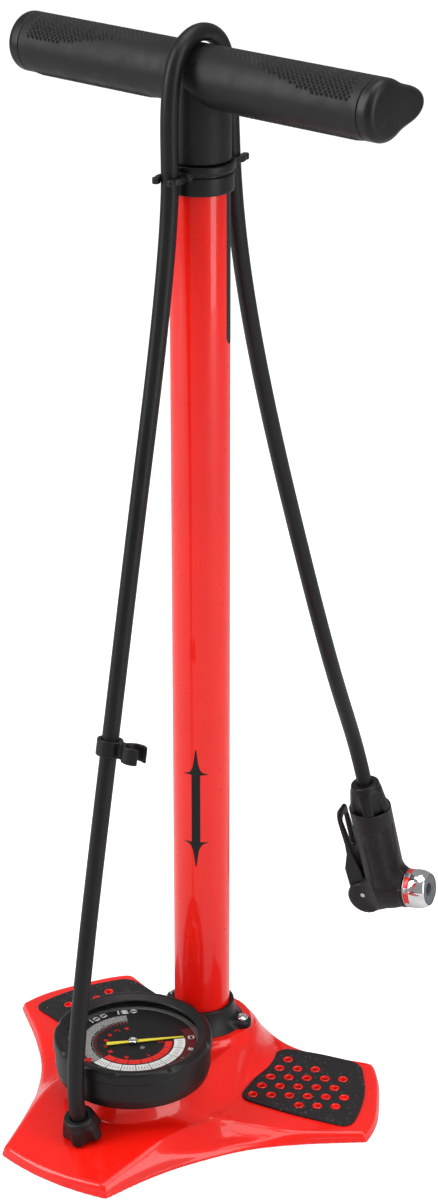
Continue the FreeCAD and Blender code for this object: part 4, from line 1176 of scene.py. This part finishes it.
def hose_path():
    """Places on the hose's centre line: up in front, over the handle and down to the chuck."""
    front = [(-131.2, 52), (-128.3, 84), (-121, 127), (-90, 274), (-59.6, 413), (-32.6, 546), (-28.6, 588)]
    back = [(31.9, 588), (61.5, 452), (109, 319), (157, 201)]
    loop_radius = 27.0
    loop_z = handle_z + handle_radius + hose_radius + 0.7 - loop_radius
    points = [nut_foot + nut_lean * reach for reach in (5.5, 11, 16.5)]
    points += [np.array((0, y, z)) for y, z in front]
    for turn in np.linspace(math.pi, 0, 5):
        points.append(np.array((0, loop_radius * math.cos(turn), loop_z + loop_radius * math.sin(turn))))
    points += [np.array((0, y, z)) for y, z in back]
    points += [chuck_top + chuck_up * reach for reach in (8, 0, -8, -16)]
    return points


def hose_piece():
    """Hose with its front foot held by the base and its back run by the handle."""
    path = natural_spline(hose_path())
    spacing = 1.6
    steps = 40
    lengths = np.concatenate(([0], np.cumsum(np.linalg.norm(np.diff(path, axis=0), axis=1))))
    places = np.linspace(0, lengths[-1], int(lengths[-1] / spacing))
    path = np.column_stack([np.interp(places, lengths, path[:, i]) for i in range(3)])
    turn = np.arange(steps) * TURN / steps
    rings = []
    side = np.array((1.0, 0, 0))
    for centre, tangent in zip(path, np.gradient(path, axis=0)):
        tangent = unit(tangent)
        side = unit(side - tangent * (side @ tangent))
        other = np.cross(tangent, side)
        rings.append(centre + hose_radius * (np.outer(np.cos(turn), side) + np.outer(np.sin(turn), other)))
    points, faces = skin(rings)
    obj = add_mesh("air_hose", points, faces, 60)
    obj.data.materials.append(MATERIALS["hose_rubber"])
    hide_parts("hose")
    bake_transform(obj)


def lobed_nut(name, axes, neck, span, lobe_radii, flute, body, node):
    """Hand nut: a plain neck over five rounded lobes; axes are its origin, x axis and z axis."""
    low, high = span
    lobe_low, lobe_high = lobe_radii
    tall = high - low
    neck_rise = 3.5

    def field(x, y, z):
        around = np.hypot(x, y)
        share = np.clip((z - low) / tall, 0, 1)
        lobes = (around - lobe_low - (lobe_high - lobe_low) * share) * 0.93
        centre = lobe_low + flute * 0.32
        for step in range(5):
            turn = TURN * (step + 0.5) / 5
            scallop = np.hypot(x - centre * math.cos(turn), y - centre * math.sin(turn)) - flute
            lobes = smooth_max(lobes, -scallop, 1.6)
        lobes = smooth_max(lobes, np.abs(z - (low + high) / 2) - tall / 2, 2.4)
        neck_level = np.abs(z - (low + high + neck_rise) / 2) - (tall + neck_rise) / 2
        plain = smooth_max(around - neck, neck_level, 2.2)
        return smooth_max(smooth_min(lobes, plain, 1.8), hose_radius + 0.35 - around, 0.5)

    reach = max(lobe_low, lobe_high, neck) + 1.5
    shape = surface_of(field, (-reach, -reach, low - 1), (reach, reach, high + 5), 0.42)
    add_piece(name, shape, body, "black_plastic", [node], lambda p: moved(p, *axes), 60)


def hand_nuts():
    foot_axes = (nut_foot + nut_lean * nut_lift, (1, 0, 0), nut_lean)
    lobed_nut("base_hose_nut", foot_axes, 9.6, (0.0, 11.5), (13.2, 10.2), 4.9, "root", "hose_nut")
    chuck_axes = (chuck_top, nozzle_direction, chuck_up)
    lobed_nut("chuck_hose_nut", chuck_axes, 9.9, (-22.5, -4.5), (14.0, 10.6), 5.2, "chuck", "chuck_nut")


def clip_piece():
    """Ring on the front run of the hose with an open ring beside it."""
    half = 5.0
    spacing = 17.8

    def field(x, y, z):
        closed = np.abs(np.hypot(x, y) - 6.7) - 1.15
        grip = np.abs(np.hypot(x - spacing, y) - 6.5) - 0.95
        mouth = np.maximum(spacing + 2.5 - x, np.abs(y) - 4.3)
        grip = smooth_max(grip, -mouth, 0.6)
        bridge = np.maximum(np.abs(y) - 2.1 - 0.06 * (x - spacing / 2) ** 2, np.abs(x - spacing / 2) - 4.2)
        bridge = np.maximum(bridge, -(np.hypot(x, y) - 5.5))
        bridge = np.maximum(bridge, -(np.hypot(x - spacing, y) - 5.5))
        joined = smooth_min(smooth_min(closed, bridge, 1.2), grip, 1.2)
        return smooth_max(joined, np.abs(z) - half, 0.7)

    def placed(points):
        return moved(points, (0, -92.3, 263), (1, 0, 0), (0, 0.206, 0.9785))

    shape = surface_of(field, (-9.5, -9.5, -6.5), (27.5, 9.5, 6.5), 0.4)
    add_piece("hose_keeper", shape, "clip", "black_plastic", ["hose_clip"], placed, 45)


# --- chuck ----------------------------------------------------------------------------------
def chuck_placed(points):
    """Places a shape whose Z runs up the chuck and whose X runs along the nozzle."""
    return moved(points, chuck_top, nozzle_direction, chuck_up)


def nozzle_placed(points):
    """Turns a lathed shape's axis onto the nozzle's."""
    x, y, z = points.T
    return chuck_placed(np.column_stack((z, -y, x + nozzle_z)))


def chuck_body_piece():
    """Grip with a neck to the nozzle, a heel for the lever's pivot and a slot for its strap."""
    rim_z = -20.0
    px, pz = lever_pivot

    def field(x, y, z):
        around = np.hypot(x, y * 0.98)
        down = np.clip((rim_z - z) / (rim_z - nozzle_z), 0, 1)
        radius = 14.2 - 0.5 * down
        grip = np.maximum(around - radius, z - rim_z + 0.11 * (x + 3))
        ball = np.sqrt(x * x + y * y + np.minimum(z - nozzle_z, 0) ** 2) - 13.6
        grip = np.maximum(grip, np.where(z < nozzle_z, ball, -50))
        off_axis = np.hypot(y, z - nozzle_z)
        neck = np.maximum(off_axis - 12.5, np.maximum(-x, x - 14.5))
        heel = np.sqrt((x - px + 0.5) ** 2 + (z - pz + 4.0) ** 2) - 13.0
        heel = smooth_max(heel, np.abs(y) - 9.8, 5.0)
        body = smooth_min(smooth_min(grip, neck, 9.0), heel, 6.0)
        flange = smooth_max(off_axis - 13.6, np.abs(x - 14.7) - 1.5, 0.9)
        body = np.minimum(body, flange)
        gap = smooth_max(np.abs(y) - 6.9, np.maximum(x + 8.5, np.hypot(x - px, z - pz) - 60), 0.8)
        slot = np.maximum(gap, -(np.hypot(x, y) - 13.0) - 99 * (z < -66))
        slot = np.maximum(slot, z + 84.0 + 0.9 * (x + 12))
        body = smooth_max(body, -slot, 0.7)
        panel = smooth_max(np.abs(y + 9 - 0.1 * (z + 60)) - 6.5, np.abs(z + 56) - 24, 4.0)
        panel = np.where((y < 0) & (x > -3), panel, 9.0)
        body = body + 0.35 * (1 - smooth_step(panel, -0.5, 0.5))
        socket = np.maximum(np.hypot(x, y) - 12.7, rim_z - 4.5 - z)
        body = smooth_max(body, -socket, 0.6)
        return body

    shape = surface_of(field, (-30, -16, -106), (18, 16, -14), 0.5)
    add_piece("chuck_shell", shape, "chuck", "chuck_ribbed", ["chuck_body"], chuck_placed, 60)


def lever_piece():
    """Thumb lever: a strap with a teardrop loop, curling to its pivot at the heel."""
    px, pz = lever_pivot

    def field(x, y, z):
        s = -z
        heights = [22, 30, 50, 58, 70, 86, 95]
        middle = np.interp(s, heights, [-21.8, -22.4, -20.9, -20.6, -20.9, -19.2, -17.0])
        thick = np.interp(s, heights, [1.6, 1.7, 1.8, 2.6, 6.0, 6.8, 6.0])
        wide = np.interp(s, [22, 27, 34, 60, 95], [5.0, 6.4, 6.7, 6.3, 6.4])
        strap = smooth_max(np.abs(x - middle) - thick, np.abs(y) - wide, 1.2)
        strap = smooth_max(strap, np.abs(s - 57) - 35, 3.0)
        reach = np.clip((s - 32) / 20, 0, 1)
        hole = np.hypot(y, s - 32 - reach * 20) - (3.9 - 2.2 * reach)
        strap = smooth_max(strap, -hole, 0.9)
        knuckle = smooth_max(np.hypot(x - px, z - pz) - 6.4, np.abs(y) - 6.4, 1.0)
        body = smooth_min(strap, knuckle, 3.0)
        return smooth_max(body, 13.9 - np.hypot(x, y) - 60 * (z < -79), 0.4)

    shape = surface_of(field, (-29, -8.5, -98), (-6, 8.5, -19), 0.42)
    add_piece("thumb_lever", shape, "lever", "black_plastic", ["chuck_lever"], chuck_placed, 60)


def nozzle_pieces():
    """Collar, its printed band and the seal in its mouth, from (radius, reach) points."""
    collar = [(9.75, 16.6), (13.3, 16.6), (13.45, 17.1), (12.1, 17.2), (12.1, 20.9), (13.5, 21.0)]
    collar += [(13.5, 24.5), (13.1, 27.2), (12.3, 29.6), (11.3, 31.4), (10.6, 32.0), (10.55, 31.2)]
    collar += [(10.55, 22.0), (9.75, 21.5)]
    stripe = [(12.1, 17.4), (13.35, 17.4), (13.35, 20.8), (12.1, 20.8)]
    seal = [(4.15, 22.2), (10.4, 22.2), (10.4, 31.2), (9.9, 31.5), (5.6, 31.5), (4.4, 30.9)]
    for name, profile, rounding, material, node, slot in (
            ("nozzle_collar", collar, 0.5, "chrome", "chuck_collar", "chrome"),
            ("collar_stripe", stripe, 0.3, "collar_band", "collar_band", "band_red"),
            ("nozzle_gland", seal, 0.5, "grey_rubber", "valve_seal", "grey_rubber")):
        shape = lathe(softened(profile, rounding), 112)
        add_piece(name, shape, "collar", material, [node], nozzle_placed, 35)


# --- CAD nodes that still show --------------------------------------------------------------
def dress_cad_nodes():
    """Gives every CAD node that still shows its own finish."""
    for name, node in frame["nodes"].items():
        if node.hide_render:
            continue
        material = MATERIALS[slot_of(name)]
        if node.data.materials:
            for i in range(len(node.data.materials)):
                node.data.materials[i] = material
        else:
            node.data.materials.append(material)


# --- studio ---------------------------------------------------------------------------------
def area_light(name, place, target, width, height, power):
    light = bpy.data.lights.new(name, "AREA")
    light.shape = "RECTANGLE"
    light.size = width
    light.size_y = height
    light.energy = power
    obj = add_object(name, light)
    obj.location = place
    obj.rotation_mode = "QUATERNION"
    obj.rotation_quaternion = (Vector(target) - Vector(place)).to_track_quat("-Z", "Y")


def studio():
    """White world, three soft lights and a white floor that looks the same from any side."""
    scene = bpy.context.scene
    scene.view_settings.view_transform = "Standard"
    scene.world = bpy.data.worlds.new("studio")
    scene.world.use_nodes = True
    sky = scene.world.node_tree.nodes["Background"]
    sky.inputs["Color"].default_value = (1, 1, 1, 1)
    sky.inputs["Strength"].default_value = 0.32
    area_light("key", (-1.3, -1.5, 1.5), (0, 0, 0.3), 0.9, 2.4, 44)
    area_light("fill", (1.9, -0.1, 1.1), (0, 0, 0.3), 0.9, 2.4, 26)
    area_light("top", (0.1, 0.2, 2.6), (0, 0, 0), 1.8, 1.8, 30)
    mesh = bpy.data.meshes.new("studio_floor")
    size = 30.0
    corners = [(x * size, y * size, -0.0002) for x, y in ((-1, -1), (1, -1), (1, 1), (-1, 1))]
    mesh.from_pydata(corners, [], [(0, 1, 2, 3)])
    paper = Shader("studio_paper", (0.93, 0.93, 0.93), 0.9, specular=0.1)
    paper.vary_color(paper.noise(400, 2), (0.70, 0.70, 0.70), (0.71, 0.71, 0.71))
    paper.set("Emission Color", (1, 1, 1, 1))
    seen = paper.node("ShaderNodeLightPath").outputs["Is Camera Ray"]
    paper.link(paper.product(seen, 0.72), paper.shader.inputs["Emission Strength"])
    mesh.materials.append(paper.material)
    add_object("studio_floor", mesh)


def camera():
    """A view from the front right and above, with its frame shifted to centre the pump."""
    data = bpy.data.cameras.new("camera")
    data.lens = 86.4
    data.sensor_width = 36.0
    data.shift_x = -0.002
    data.shift_y = -0.0255
    obj = add_object("camera", data)
    obj.location = (0.9188, -1.290, 1.0075)
    forward = Vector((-0.5292, 0.7553, -0.3867)).normalized()
    right = forward.cross(Vector((0, 0, 1))).normalized()
    up = right.cross(forward)
    obj.rotation_mode = "QUATERNION"
    obj.rotation_quaternion = Matrix((right, up, -forward)).transposed().to_quaternion()
    bpy.context.scene.camera = obj


base_piece()
tread_pieces()
spring_piece()
barrel_piece()
barrel_prints()
collar_piece()
screw_pieces()
cap_piece()
handle_piece()
end_cap_pieces()
gauge_pieces()
bezel_piece()
dial_pieces()
needle_pieces()
hose_piece()
hand_nuts()
clip_piece()
chuck_body_piece()
lever_piece()
nozzle_pieces()
softened_node("target_marker", 0.15, "marker_red")
softened_node("rubber_feet", 0.5, "black_rubber")
dress_cad_nodes()
studio()
camera()
